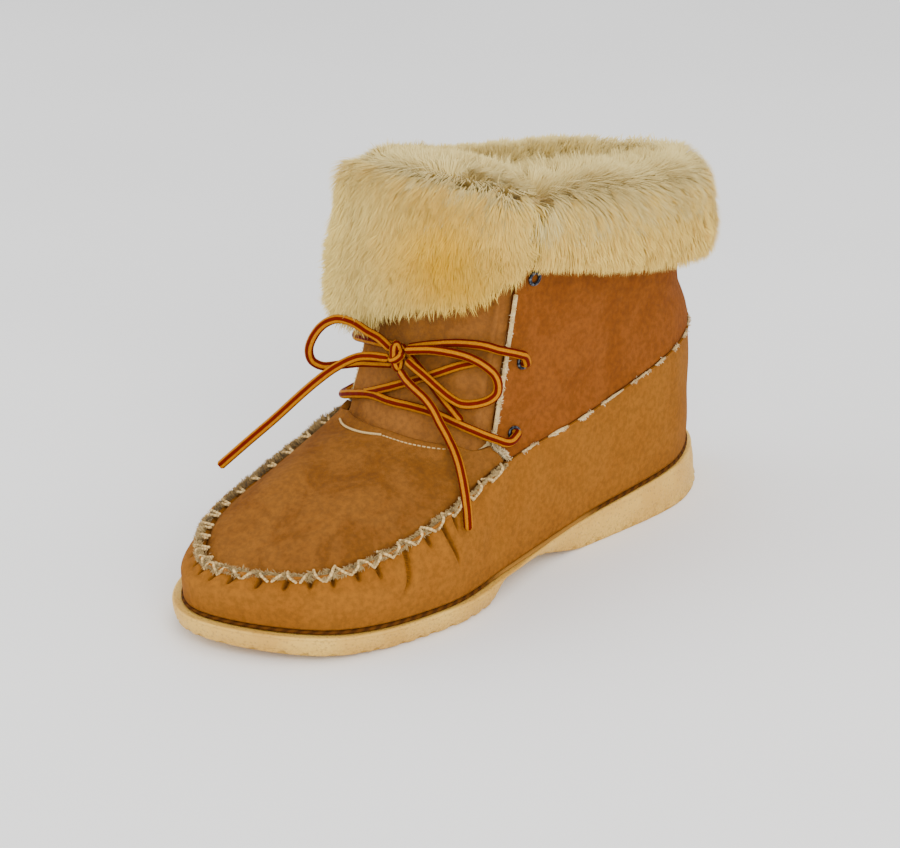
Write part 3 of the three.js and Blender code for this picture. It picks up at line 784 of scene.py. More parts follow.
@dataclass(frozen=True)
class Fibre:
    """Thread, twisted rope or woven lace: stripes run at the UV's u, its twist or weave along v."""

    name: str
    light: Colour
    dark: Colour
    stripes: float = 0.0
    twist: float = 0.0
    weave: float = 0.0
    rough: float = 0.7

    def material(self) -> bpy.types.Material:
        """Builds the finish.

        Returns:
            The material.
        """
        material, graph = Graph.of_material(self.name)
        coords = graph.add("TexCoord")
        uv = graph.add("SeparateXYZ", {0: coords.outputs["UV"]})
        round_it, along = uv.outputs[0], uv.outputs[1]
        wobble = graph.math("MULTIPLY", graph.noise(coords.outputs["Object"], 300.0, 2.0), 0.1)
        phase = graph.math("ADD", graph.math("MULTIPLY", round_it, max(self.stripes, 1.0)),
                           graph.math("ADD", graph.math("MULTIPLY", along, self.twist), wobble))
        wave = graph.math("SINE", graph.math("MULTIPLY", phase, TAU))
        band = graph.ramp(wave, -0.45, 0.2) if self.stripes else graph.ramp(wave, -1.0, 1.0, 0.0, 0.6)
        ribs = graph.math("SINE", graph.math("MULTIPLY", along, self.weave * TAU))
        grain = graph.noise(coords.outputs["Object"], 1600.0, 3.0, 0.7)
        base = graph.blend(band, linear(*self.light), linear(*self.dark))
        base = graph.blend(graph.ramp(grain, 0.35, 0.75, 0.0, 0.4), base, linear(150, 140, 130),
                           Blend.MULTIPLY)
        # Lighter tan where the point attribute says, along the strip's waist.
        lighter_band = graph.add("Attribute", attribute_name="painted_shade_and_tint").outputs["Fac"]
        base = graph.blend(lighter_band, base, linear(150, 104, 44))
        strand = graph.math("ADD", graph.math("MULTIPLY", wave, 0.4 if self.twist else 0.1), grain)
        height = graph.math("ADD", graph.math("MULTIPLY", ribs, 0.25), strand)
        graph.surface({"Base Color": base, "Roughness": self.rough, "Specular IOR Level": 0.03,
                       "Normal": graph.bump(height, 0.0003, 0.7)})
        return material


@dataclass(frozen=True)
class Metal:
    """Dark plated metal, rubbed bright in places."""

    name: str
    dark: Colour
    bright: Colour

    def material(self) -> bpy.types.Material:
        """Builds the finish.

        Returns:
            The material.
        """
        material, graph = Graph.of_material(self.name)
        coords = graph.add("TexCoord").outputs["Object"]
        rub = graph.ramp(graph.noise(coords, 900.0, 3.0), 0.45, 0.7)
        base = graph.blend(rub, linear(*self.dark), linear(*self.bright))
        rough = graph.ramp(rub, 0.0, 1.0, 0.35, 0.5)
        graph.surface({"Base Color": base, "Metallic": 0.9, "Roughness": rough})
        return material


class Finishes:
    """Every finish on the boot."""

    def __init__(self) -> None:
        """Builds the shared groups and the materials."""
        nap, wool = nap_group(), wool_group()
        self.suede = Suede("tan suede", (141, 94, 35), (127, 81, 28), 0.45).material(nap)
        # The apron and the quarters are the same tan suede as the lower; their darker colours are painted
        # shade, where less light falls on them.
        self.apron = Suede("apron suede", (125, 84, 37), (102, 64, 26), 0.7).material(nap)
        self.quarter = Suede("quarter suede", (128, 77, 32), (107, 60, 21), 0.55).material(nap)
        self.tongue = Suede("tongue suede", (146, 100, 50), (116, 74, 34), 0.5).material(nap)
        # Dark brown: a welt in front, and round the heel painted shadow of the recess where the upper lifts
        # off the sole.
        self.strip = Fibre("brown welt", (96, 56, 18), (40, 20, 8), twist=0.3).material()
        self.rubber = Rubber("cream rubber", (228, 184, 84), (208, 158, 62)).material()
        self.thread = Fibre("cream thread", (230, 200, 140), (176, 138, 80), twist=0.9).material()
        self.lace = Fibre("striped lace", (184, 116, 0), (100, 18, 3), 4.0, weave=0.9, rough=0.5).material()
        self.skin = Wool("wool skin", (216, 188, 116), (238, 212, 140), skin=True).material(wool)
        self.lining = Wool("lining wool", (210, 178, 112), (240, 216, 158), skin=True).material(wool)
        self.ivory = Wool("ivory wool", (218, 180, 84), (242, 209, 108)).material(wool)
        self.grey = Wool("grey wool", (214, 190, 116), (234, 214, 142)).material(wool)
        self.yellow = Wool("yellow wool", (212, 180, 88), (235, 209, 122), warm=(226, 174, 22)).material(wool)
        self.edge = Wool("edge wool", (122, 96, 54), (196, 168, 114)).material(wool)
        self.pale_edge = Wool("pale edge wool", (190, 158, 104), (240, 222, 178)).material(wool)
        self.metal = Metal("dark eyelet", (34, 38, 46), (110, 114, 122)).material()


def centripetal(points: Array, steps: int) -> Array:
    """Centripetal Catmull-Rom curve through open points.

    Args:
        points: The points, one row each.
        steps: Steps from each point to the next.

    Returns:
        The curve's points.
    """
    ends = [2 * points[0] - points[1], 2 * points[-1] - points[-2]]
    p = np.vstack([ends[0], points, ends[1]])
    rows = []
    for k in range(1, len(p) - 2):
        a, b, c, d = p[k - 1:k + 3]
        ta, tb, tc = (max(float(np.linalg.norm(q - r)) ** 0.5, 1e-4) for q, r in ((b, a), (c, b), (d, c)))
        m1 = ((b - a) / ta - (c - a) / (ta + tb) + (c - b) / tb) * tb
        m2 = ((c - b) / tb - (d - b) / (tb + tc) + (d - c) / tc) * tb
        for f in np.arange(steps) / steps:
            rows.append((2 * f ** 3 - 3 * f ** 2 + 1) * b + (f ** 3 - 2 * f ** 2 + f) * m1
                        + (3 * f ** 2 - 2 * f ** 3) * c + (f ** 3 - f ** 2) * m2)
    return np.array(rows + [points[-1]])


def travelled(points: Array) -> Array:
    """How far each of a line's points is along it."""
    return np.concatenate([[0], np.cumsum(np.linalg.norm(np.diff(points, axis=0), axis=1))])


def even(points: Array, step: float) -> Array:
    """The same line with its points a step apart.

    Args:
        points: The line.
        step: The step, in its own units.

    Returns:
        The new points.
    """
    gone = travelled(points)
    count = max(4, round(gone[-1] / step))
    at = np.linspace(0, gone[-1], count + 1)
    return np.column_stack([np.interp(at, gone, points[:, axis]) for axis in range(3)])


@dataclass
class TubeSet:
    """Tubes gathered into one mesh, each with its UV: u round it and v along it in diameters."""

    sides: int = 12
    points: list[Array] = field(default_factory=list)
    faces: list[Array] = field(default_factory=list)
    uvs: list[Array] = field(default_factory=list)
    caps: list[tuple[int, int]] = field(default_factory=list)
    count: int = 0
    cap_reach: float = 0.5
    cap_width: float = 0.6

    def add(self, line: Array, radius: Array | float) -> None:
        """Adds a tube with rounded ends.

        Args:
            line: Its middle line, in metres.
            radius: Its radius, in metres, one value or one a point.
        """
        n = len(line)
        radius = np.broadcast_to(np.asarray(radius, float), (n,)).copy()
        ahead = np.gradient(line, axis=0)
        ahead /= np.linalg.norm(ahead, axis=1)[:, None]
        first = np.cross(ahead[0], (0.31, 0.22, 0.93))
        side = first / np.linalg.norm(first)
        sides = []
        for way in ahead:
            side = side - way * float(side @ way)
            side = side / np.linalg.norm(side)
            sides.append(side)
        across = np.array(sides)
        over = np.cross(ahead, across)
        gone = travelled(line)
        first_cap = line[0] - ahead[0] * radius[0] * self.cap_reach
        last_cap = line[-1] + ahead[-1] * radius[-1] * self.cap_reach
        line = np.vstack([first_cap, line, last_cap])
        across = np.vstack([across[0], across, across[-1]])
        over = np.vstack([over[0], over, over[-1]])
        radius = np.concatenate([[radius[0] * self.cap_width], radius, [radius[-1] * self.cap_width]])
        gone = np.concatenate([[0], gone, [gone[-1]]])
        a = (np.arange(self.sides) * TAU / self.sides)[None, :, None]
        around = np.cos(a) * across[:, None, :] + np.sin(a) * over[:, None, :]
        ring = line[:, None, :] + radius[:, None, None] * around
        rows = len(line)
        faces = grid_faces(rows, self.sides, False, True)[:, ::-1]
        wide = 2 * float(radius.max())
        u0 = np.tile(np.arange(self.sides), rows - 1) / self.sides
        v0 = np.repeat(gone[:-1], self.sides) / wide
        v1 = np.repeat(gone[1:], self.sides) / wide
        u1 = u0 + 1 / self.sides
        corners = np.stack([np.column_stack([u1, v0]), np.column_stack([u1, v1]),
                            np.column_stack([u0, v1]), np.column_stack([u0, v0])], axis=1)
        self.points.append(ring.reshape(-1, 3))
        self.faces.append(faces + self.count)
        self.uvs.append(corners.reshape(-1, 2))
        self.caps.append((self.count, self.count + (rows - 1) * self.sides))
        self.count += rows * self.sides

    def mesh(self, name: str) -> bpy.types.Object:
        """Makes the object, its ends closed.

        Args:
            name: Its name.

        Returns:
            The object.
        """
        points = np.vstack(self.points)
        faces = np.vstack(self.faces)
        uvs = np.vstack(self.uvs)
        lids = []
        half = self.sides // 2
        for first, last in self.caps:
            for k in range(half - 1):
                a, b, c, d = k, k + 1, self.sides - 2 - k, self.sides - 1 - k
                lids.append([first + a, first + b, first + c, first + d])
                lids.append([last + d, last + c, last + b, last + a])
        faces = np.vstack([faces, np.array(lids)])
        uvs = np.vstack([uvs, np.zeros((4 * len(lids), 2))])
        piece = mesh_from(name, points, faces)
        layer = piece.data.uv_layers.new(name="UVMap")
        layer.data.foreach_set("uv", uvs.astype(np.float32).ravel())
        return piece


@dataclass
class Laces:
    """The lace: its crossings through the eyelets, the knot, two bow loops and two ends."""

    width: float = LACE
    step: float = 0.8
    sides: int = 16
    eyelet_path: tuple[float, ...] = (2.6, 0.5, -5.0)     # distances out where a lace goes through
    crossings: dict[str, Points] = field(default_factory=lambda: {
        "bar": ((44.5, -154, 65.5), (43.5, -160.5, 68.5), (38.5, -165, 70.8), (30.5, -170.3, 74.2),
                (23, -171.8, 75.5), (16, -173.5, 77), (6, -176, 77.5), (-4.5, -177.5, 77), (-16, -177, 76.5),
                (-29.5, -176, 72.7), (-38, -173.5, 69.3), (-43.5, -167, 67), (-44.5, -160.5, 67)),
        "outer_diagonal": ((-21, -176, 76), (-10, -176, 81), (-2.5, -174.7, 84.5), (11, -170.5, 91),
                           (22.5, -165, 97), (29.2, -161.1, 99.7)),
        "inner_diagonal": ((-5, -170.5, 99), (-1, -170.7, 96.5), (8, -171.3, 91.5), (18.5, -171.2, 84),
                           (27.5, -169.5, 76)),
        "outer_top": ((42, -143.5, 100), (42.3, -148.5, 102.5), (41.6, -153.5, 104.8), (38, -158, 106.3),
                      (33.5, -160.5, 107.3), (21.5, -163.5, 106), (8.5, -168, 103), (-3, -170.2, 99)),
        "inner_top": ((-4, -170.5, 98.8), (-14, -171, 98), (-24, -169.8, 96.5), (-31, -168, 95),
                      (-38, -165.5, 93.5), (-41.8, -160.5, 93), (-42.2, -153.5, 94.5))})
    loose: dict[str, Points] = field(default_factory=lambda: {
        "lace_loop_inner": ((-7.2, -175.5, 99.5), (-12.9, -176.2, 102.4), (-18.3, -178, 104.5),
                            (-24.4, -180.5, 107.5), (-30.5, -182.8, 107.8), (-35.5, -185.3, 105.2),
                            (-38.2, -188.3, 101), (-39.5, -191, 94.5), (-39, -190, 89), (-36, -187, 86.5),
                            (-31, -182, 87), (-22.5, -177, 89), (-14.5, -175, 90.5), (-7.5, -174.6, 92.2)),
        "lace_loop_outer": ((3.4, -175.4, 101.3), (12, -172, 103), (17.5, -169, 103), (24, -167, 103),
                            (29.5, -165.4, 102.4), (35, -163, 100), (38.5, -160.5, 96), (39.8, -160, 92),
                            (39.5, -160.5, 88.5), (38, -162.5, 86), (34, -166.5, 84), (29, -170, 83.5),
                            (24, -172, 85.5), (18, -173.5, 89), (13, -174.8, 92.3), (8, -175.6, 94.8),
                            (4.2, -175.8, 96.5)),
        "lace_end_inner": ((-6.2, -178.2, 96), (-13, -180.5, 95.5), (-19, -183, 94), (-24.5, -190, 90),
                           (-28, -197.5, 85), (-31, -203.5, 80), (-36, -213.5, 71), (-40.5, -225, 62.5),
                           (-45, -236, 54)),
        "lace_end_outer": ((1.5, -177.5, 91.5), (6, -178.6, 89.4), (12, -179.5, 87.5), (17.5, -179.2, 84.8),
                           (21.5, -179, 81.5), (24.5, -178.5, 77), (28.5, -177, 70), (38, -181.5, 65.5),
                           (45.2, -185.5, 59), (49.6, -187.8, 50.5), (51.2, -188.5, 42))})
    threaded: dict[str, tuple[str, bool]] = field(default_factory=lambda: {
        "bar": ("eyelet_low_outer", True), "outer_top": ("eyelet_middle_outer", True),
        "inner_top": ("eyelet_middle_inner", False)})
    knot_at: tuple[float, float, float] = (-2, -176.6, 97.6)
    knot_size: tuple[float, float, float] = (4.2, 3.4, 6.5)

    def line(self, points: Points) -> Array:
        """A lace's middle line in metres, from its listed points."""
        return even(centripetal(lace_frame(points), 12), self.step * MM)

    def into_eyelet(self, line: Array, name: str, at_start: bool) -> Array:
        """Carries a lace's end on through an eyelet.

        Args:
            line: The lace's middle line.
            name: The eyelet.
            at_start: Whether it is the line's start that goes in.

        Returns:
            The longer line.
        """
        side, row = Eyelets().places[name]
        turn, rows = np.full(3, side.value * (INSTEP - EYELET_INSET)), np.full(3, row)
        hole = to_frame(LAST.place(turn, rows, np.array(self.eyelet_path)))
        coarse = line[6:][::4] if at_start else line[:-6][::-4]
        joined = even(centripetal(np.vstack([hole[::-1], coarse]), 8), self.step * MM)
        return joined if at_start else joined[::-1]

    def build(self, finishes: Finishes) -> None:
        """Builds and dresses every length of the lace.

        Args:
            finishes: The boot's finishes.
        """
        radius = 0.5 * self.width * MM
        crossings = TubeSet(self.sides)
        for name, points in self.crossings.items():
            line = self.line(points)
            if name in self.threaded:
                line = self.into_eyelet(line, *self.threaded[name])
            if name == "bar":
                line = self.into_eyelet(line, "eyelet_low_inner", False)
            crossings.add(line, radius)
        piece = crossings.mesh("lace_crossings_woven")
        finish_piece(piece, finishes.lace, "lace", "lace_crossings")
        self.knot(finishes)
        for name, points in self.loose.items():
            self.free(name, points, finishes)

    def free(self, name: str, points: Points, finishes: Finishes) -> None:
        """Args:
            name: The frame's node that it stands for.
            points: Its listed points.
            finishes: The boot's finishes.
        """
        line = self.line(points)
        radius = 0.5 * self.width * MM
        tube = TubeSet(self.sides)
        tube.add(line, radius)
        piece = tube.mesh(name + "_woven")
        finish_piece(piece, finishes.lace, "lace", name)

    def knot(self, finishes: Finishes) -> None:
        """Builds the knot: a band wrapped round the crossing of the bow's loops.

        Args:
            finishes: The boot's finishes.
        """
        middle = lace_frame([self.knot_at])[0]
        half = np.array(self.knot_size) * MM
        radius = 0.46 * self.width * MM
        room = half - radius
        wraps = TubeSet(self.sides - 2)
        t = np.linspace(0, TAU, 40)
        band = np.column_stack([np.cos(t), np.sin(t) * 0.9, 0.35 * np.sin(t + 0.6)])
        wraps.add(middle + band * room, radius)
        t = np.linspace(-1.2, TAU - 1.7, 40)
        hitch = np.column_stack([0.55 * np.sin(t), np.cos(t) * 0.75, np.cos(t + 1.1)])
        wraps.add(middle + hitch * room, radius)
        piece = wraps.mesh("lace_knot_tied")
        finish_piece(piece, finishes.lace, "lace", "lace_knot")


@dataclass
class Sole:
    """Moulded unit sole with its scalloped floor edge and cross grooves, and the dark strip on it."""

    steps: int = 720
    rings: int = 30
    notch_pitch: float = 9.0
    notch_depth: float = 1.7
    notch_width: float = 1.5
    brim: float = 1.1
    grooves: tuple[tuple[float, float, int], ...] = ((0.05, 0.33, 6), (0.64, 0.80, 5))
    groove_width: float = 2.4
    groove_depth: float = 1.8
    plain_rim: float = 9.0
    # The side's corners: share of the height, share of the way to the upper outline, distance in
    side: tuple[tuple[float, float, float], ...] = (
        (0.0, 0.0, 0.9), (0.045, 0.1, 0.0), (0.12, 0.3, 0.0), (0.22, 0.42, 0.25), (0.27, 0.46, 0.05),
        (0.4, 0.6, -0.1), (0.55, 0.7, -0.2), (0.7, 0.83, -0.15), (0.82, 0.93, 0.1), (0.86, 0.96, 0.3),
        (0.9, 1.0, 0.05), (0.96, 1.0, 0.15), (1.0, 1.0, 0.8))
    # The strip's corners: share of its thickness and distance out
    rope: tuple[tuple[float, float], ...] = (
        (0.0, 0.0), (0.12, 0.45), (0.35, 0.8), (0.65, 0.8), (0.88, 0.45), (1.0, 0.0), (1.0, -3.0),
        (0.0, -3.0))

    def build(self, finishes: Finishes) -> None:
        """Builds and dresses both layers."""
        self.outsole(finishes)
        self.strip(finishes)

    def ring(self, loop: Loop) -> Array:
        """Rows of x and along round the sole, one a step."""
        return closed_curve(loop.ring(0.0), np.arange(self.steps) / self.steps)[:, :2]

    def outsole(self, finishes: Finishes) -> None:
        """Builds and dresses the outsole.

        Args:
            finishes: The boot's finishes.
        """
        low, high = self.ring(SOLE_BOTTOM), self.ring(SOLE_TOP)
        gone = travelled(low)
        round_it = gone[-1] + np.linalg.norm(low[0] - low[-1])
        rng = np.random.default_rng(41)
        notch = np.zeros(self.steps)
        place = 3.0
        while place < round_it - 3:
            notch = np.maximum(notch, rng.uniform(0.4, 1.0) * self.notch_depth
                               * np.clip(1.35 - np.abs(gone - place) / self.notch_width, 0, 1))
            place += self.notch_pitch * rng.uniform(0.6, 1.5)
        bottom, top = sole_bottom(low[:, 1]), sole_top(high[:, 1])
        rows = []
        for up, out, inset in self.side:
            near = smooth(0.2, 0.04, up) * notch
            plan = mix(self.inset(low, inset + 0.5 * near), self.inset(high, inset), out)
            rows.append(np.column_stack([plan, mix(bottom, top, up) + near]))
        rows.append(self.cap(high, self.brim, sole_top, 0.0))
        for share in np.linspace(0.25, 0.98, 6):
            rows.append(self.toward(high, share, sole_top))
        shares = np.linspace(0.02, 0.985, self.rings)
        floor = [self.groove(self.toward(low, share, sole_bottom), low) for share in shares]
        points = np.vstack(floor[::-1] + rows)
        count_rows = len(floor) + len(rows)
        faces = grid_faces(count_rows, self.steps, False, True)[:, ::-1]
        piece = mesh_from("outsole_crepe", to_frame(points), faces)
        close_ends(piece)
        finish_piece(piece, finishes.rubber, "sole_rubber", "outsole")

    def inset(self, ring: Array, distance: Array | float) -> Array:
        """Moves a plan ring in.

        Args:
            ring: The ring, as rows of x and along.
            distance: How far, for all or for each point.

        Returns:
            The new ring.
        """
        ahead = np.roll(ring, -1, axis=0) - np.roll(ring, 1, axis=0)
        normal = np.column_stack([ahead[:, 1], -ahead[:, 0]])
        normal /= np.linalg.norm(normal, axis=1)[:, None]
        return ring - normal * np.reshape(distance, (-1, 1))

    def cap(self, ring: Array, inset: float, height: Callable[[Array], Array], lift: float) -> Array:
        """A plan ring moved in and set at a height."""
        plan = self.inset(ring, inset)
        return np.column_stack([plan, height(plan[:, 1]) + lift])

    def toward(self, ring: Array, share: float, height: Callable[[Array], Array]) -> Array:
        """A plan ring drawn in towards the sole's middle line and set at a height.

        Args:
            ring: The ring, as rows of x and along.
            share: Share of the way in.
            height: Gives the height at a place along.

        Returns:
            Rows of x, along and z.
        """
        along = np.clip(ring[:, 1], 0.12 * LENGTH, 0.86 * LENGTH)
        middle = np.column_stack([np.interp(along, [34, 244], [0.9, -4.0]), along])
        plan = mix(ring, middle, share)
        return np.column_stack([plan, height(plan[:, 1])])

    def groove(self, ring: Array, low: Array) -> Array:
        """Cuts the cross grooves into a ring of the floor face.

        Args:
            ring: The ring, as rows of x, along and z.
            low: The sole's lower outline.

        Returns:
            The ring with its grooves.
        """
        cut = ring.copy()
        wide, narrow = 0.5 * self.groove_width + 0.4, 0.5 * self.groove_width - 0.4
        for start, end, count in self.grooves:
            for along in np.linspace(start, end, count) * LENGTH:
                near = np.abs(low[:, 1] - along) < 6
                half = np.abs(low[near, 0]).min() - self.plain_rim
                across = smooth(half + 0.6, half - 0.6, np.abs(ring[:, 0]))
                deep = smooth(wide, narrow, np.abs(ring[:, 1] - along))
                cut[:, 2] += self.groove_depth * across * deep
        return cut

    def strip(self, finishes: Finishes) -> None:
        """Builds and dresses the dark strip: a twisted rope at the forefoot, flat round the heel, where its
        dark brown paints the shadow of the recess under the upper.

        Args:
            finishes: The boot's finishes.
        """
        foot = self.ring(FORM[0])
        rows = []
        for up, out in self.rope:
            plan = self.inset(foot, -out)
            rows.append(np.column_stack([plan, sole_top(plan[:, 1]) + GAP + STRIP * up]))
        faces = grid_faces(len(rows), self.steps, True, True)
        piece = mesh_from("midsole_strip_welt", to_frame(np.vstack(rows)), faces)
        face_outwards(piece)
        gone = travelled(foot)
        layer = piece.data.uv_layers.new(name="UVMap")
        count = len(piece.data.loops)
        which = np.empty(count, np.int32)
        piece.data.loops.foreach_get("vertex_index", which)
        uv = np.column_stack([(which // self.steps) / len(rows), gone[which % self.steps] / STRIP])
        layer.data.foreach_set("uv", uv.astype(np.float32).ravel())
        # Lighter tan along the waist of the strip.
        share = (ORIGIN[1] - point_rows(piece)[:, 1] / MM) / LENGTH
        painted_shade_and_tint(piece, smooth(0.33, 0.39, share) * (1 - smooth(0.56, 0.63, share)))
        finish_piece(piece, finishes.strip, "midsole_strip", "midsole_strip")


@dataclass(frozen=True)
class Crease:
    """A soft trough (depth over 0) or ridge on the last: from one turn and row to another, width in mm."""

    start: tuple[float, float]
    end: tuple[float, float]
    width: float
    depth: float


@dataclass
class Relief:
    """What shapes a leather face beyond the last: its gathers and its creases."""

    creases: tuple[Crease, ...] = ()
    puckers: tuple[tuple[float, ...], ...] = ()
    banks: float = 0.35             # how high a trough's banks stand, as a share of its depth
    slit_width: float = 0.0009      # widths in turns
    shade_width: float = 0.0013
    lobe_width: float = 0.0055
    lobe_at: float = 0.0070

    def creased(self, u: Array, v: Array) -> Array:
        """Offset that the creases give.

        Args:
            u: Turns.
            v: Rows.

        Returns:
            Distances out, in mm.
        """
        total = np.zeros_like(u)
        points = LAST.surface(u, v)
        for crease in self.creases:
            ends = LAST.surface(*np.array([crease.start, crease.end]).T)
            way = ends[1] - ends[0]
            share = np.clip((points - ends[0]) @ way / (way @ way), 0, 1)
            bow = ends[0] + share[:, None] * way
            far = np.linalg.norm(points - bow, axis=1)
            fade = smooth(0, 0.25, share + 0.08) * (1 - smooth(0.75, 1.0, share - 0.08))
            bank = np.exp(-((far - 1.9 * crease.width) / crease.width) ** 2)
            shape = np.exp(-(far / crease.width) ** 2) - self.banks * bank
            total -= crease.depth * fade * shape
        return total

    def puckered(self, u: Array, v: Array) -> Array:
        """Offset that the gathers under the raised seam give.

        Args:
            u: Turns.
            v: Rows.

        Returns:
            Distances out, in mm.
        """
        total = np.zeros_like(u)
        for top, foot, length, depth in self.puckers:
            down = np.clip((2.0 - v) / length, 0, 1.3)
            middle = top + (foot - top) * down
            far = np.abs(np.mod(u - middle + 0.5, 1.0) - 0.5)
            fade = 1 - smooth(0.55, 1.15, down)
            slit = np.exp(-(far / (self.slit_width * (1 + fade / 1.5))) ** 2)
            lobe = np.exp(-((far - self.lobe_at) / self.lobe_width) ** 2)
            total += fade * (0.5 * depth * lobe - 1.1 * depth * slit)
        return total

    def slits(self, u: Array, v: Array) -> Array:
        """How much painted shade darkens the gathers' slits.

        Args:
            u: Turns.
            v: Rows.

        Returns:
            Shares of 1.
        """
        total = np.zeros_like(u)
        for top, foot, length, _ in self.puckers:
            down = np.clip((2.0 - v) / length, 0, 1.3)
            far = np.abs(np.mod(u - top - (foot - top) * down + 0.5, 1.0) - 0.5)
            total = np.maximum(total, (1 - smooth(0.6, 1.1, down)) * np.exp(-(far / self.shade_width) ** 2))
        return total


# Gathers of the outer side: turn at the seam, turn at the foot, length in rows, depth in mm
OUTER_PUCKERS = (
    (0.3050, 0.3070, 0.45, 1.6), (0.3170, 0.3145, 1.10, 2.2), (0.3306, 0.3315, 0.42, 1.8),
    (0.3480, 0.3660, 1.25, 2.3), (0.3750, 0.3775, 0.55, 1.9), (0.3915, 0.3930, 0.40, 2.0),
    (0.4104, 0.4125, 0.42, 1.8), (0.4270, 0.4285, 0.38, 2.0), (0.4420, 0.4440, 0.42, 1.8),
    (0.4590, 0.4605, 0.40, 2.0), (0.4780, 0.4790, 0.36, 1.7), (0.4930, 0.4935, 0.40, 1.8))


def mirrored(puckers: tuple[tuple[float, ...], ...]) -> tuple[tuple[float, ...], ...]:
    """The same gathers on both sides of the toe."""
    return puckers + tuple((1.002 - top, 1.002 - foot, length, depth) for top, foot, length, depth in puckers)


def painted_shade_and_tint(piece: bpy.types.Object, values: Array) -> None:
    """Stores each point's colour shift: painted shade in the gathers, and darker or lighter bands."""
    layer = piece.data.attributes.new("painted_shade_and_tint", "FLOAT", "POINT")
    layer.data.foreach_set("value", np.clip(values, 0, 1).astype(np.float32))


def point_rows(piece: bpy.types.Object) -> Array:
    """Reads a mesh's points.

    Args:
        piece: The object.

    Returns:
        Rows of x, y and z in metres.
    """
    count = len(piece.data.vertices)
    points = np.empty(3 * count, np.float32)
    piece.data.vertices.foreach_get("co", points)
    return points.reshape(-1, 3).astype(float)


def front(u: Array) -> Array:
    """1 round the toe and 0 behind the quarters' front edges."""
    turn, home = np.mod(u, 1.0), 1 - INSTEP
    return smooth(INSTEP - 0.01, INSTEP + 0.03, turn) * (1 - smooth(home - 0.03, home + 0.01, turn))


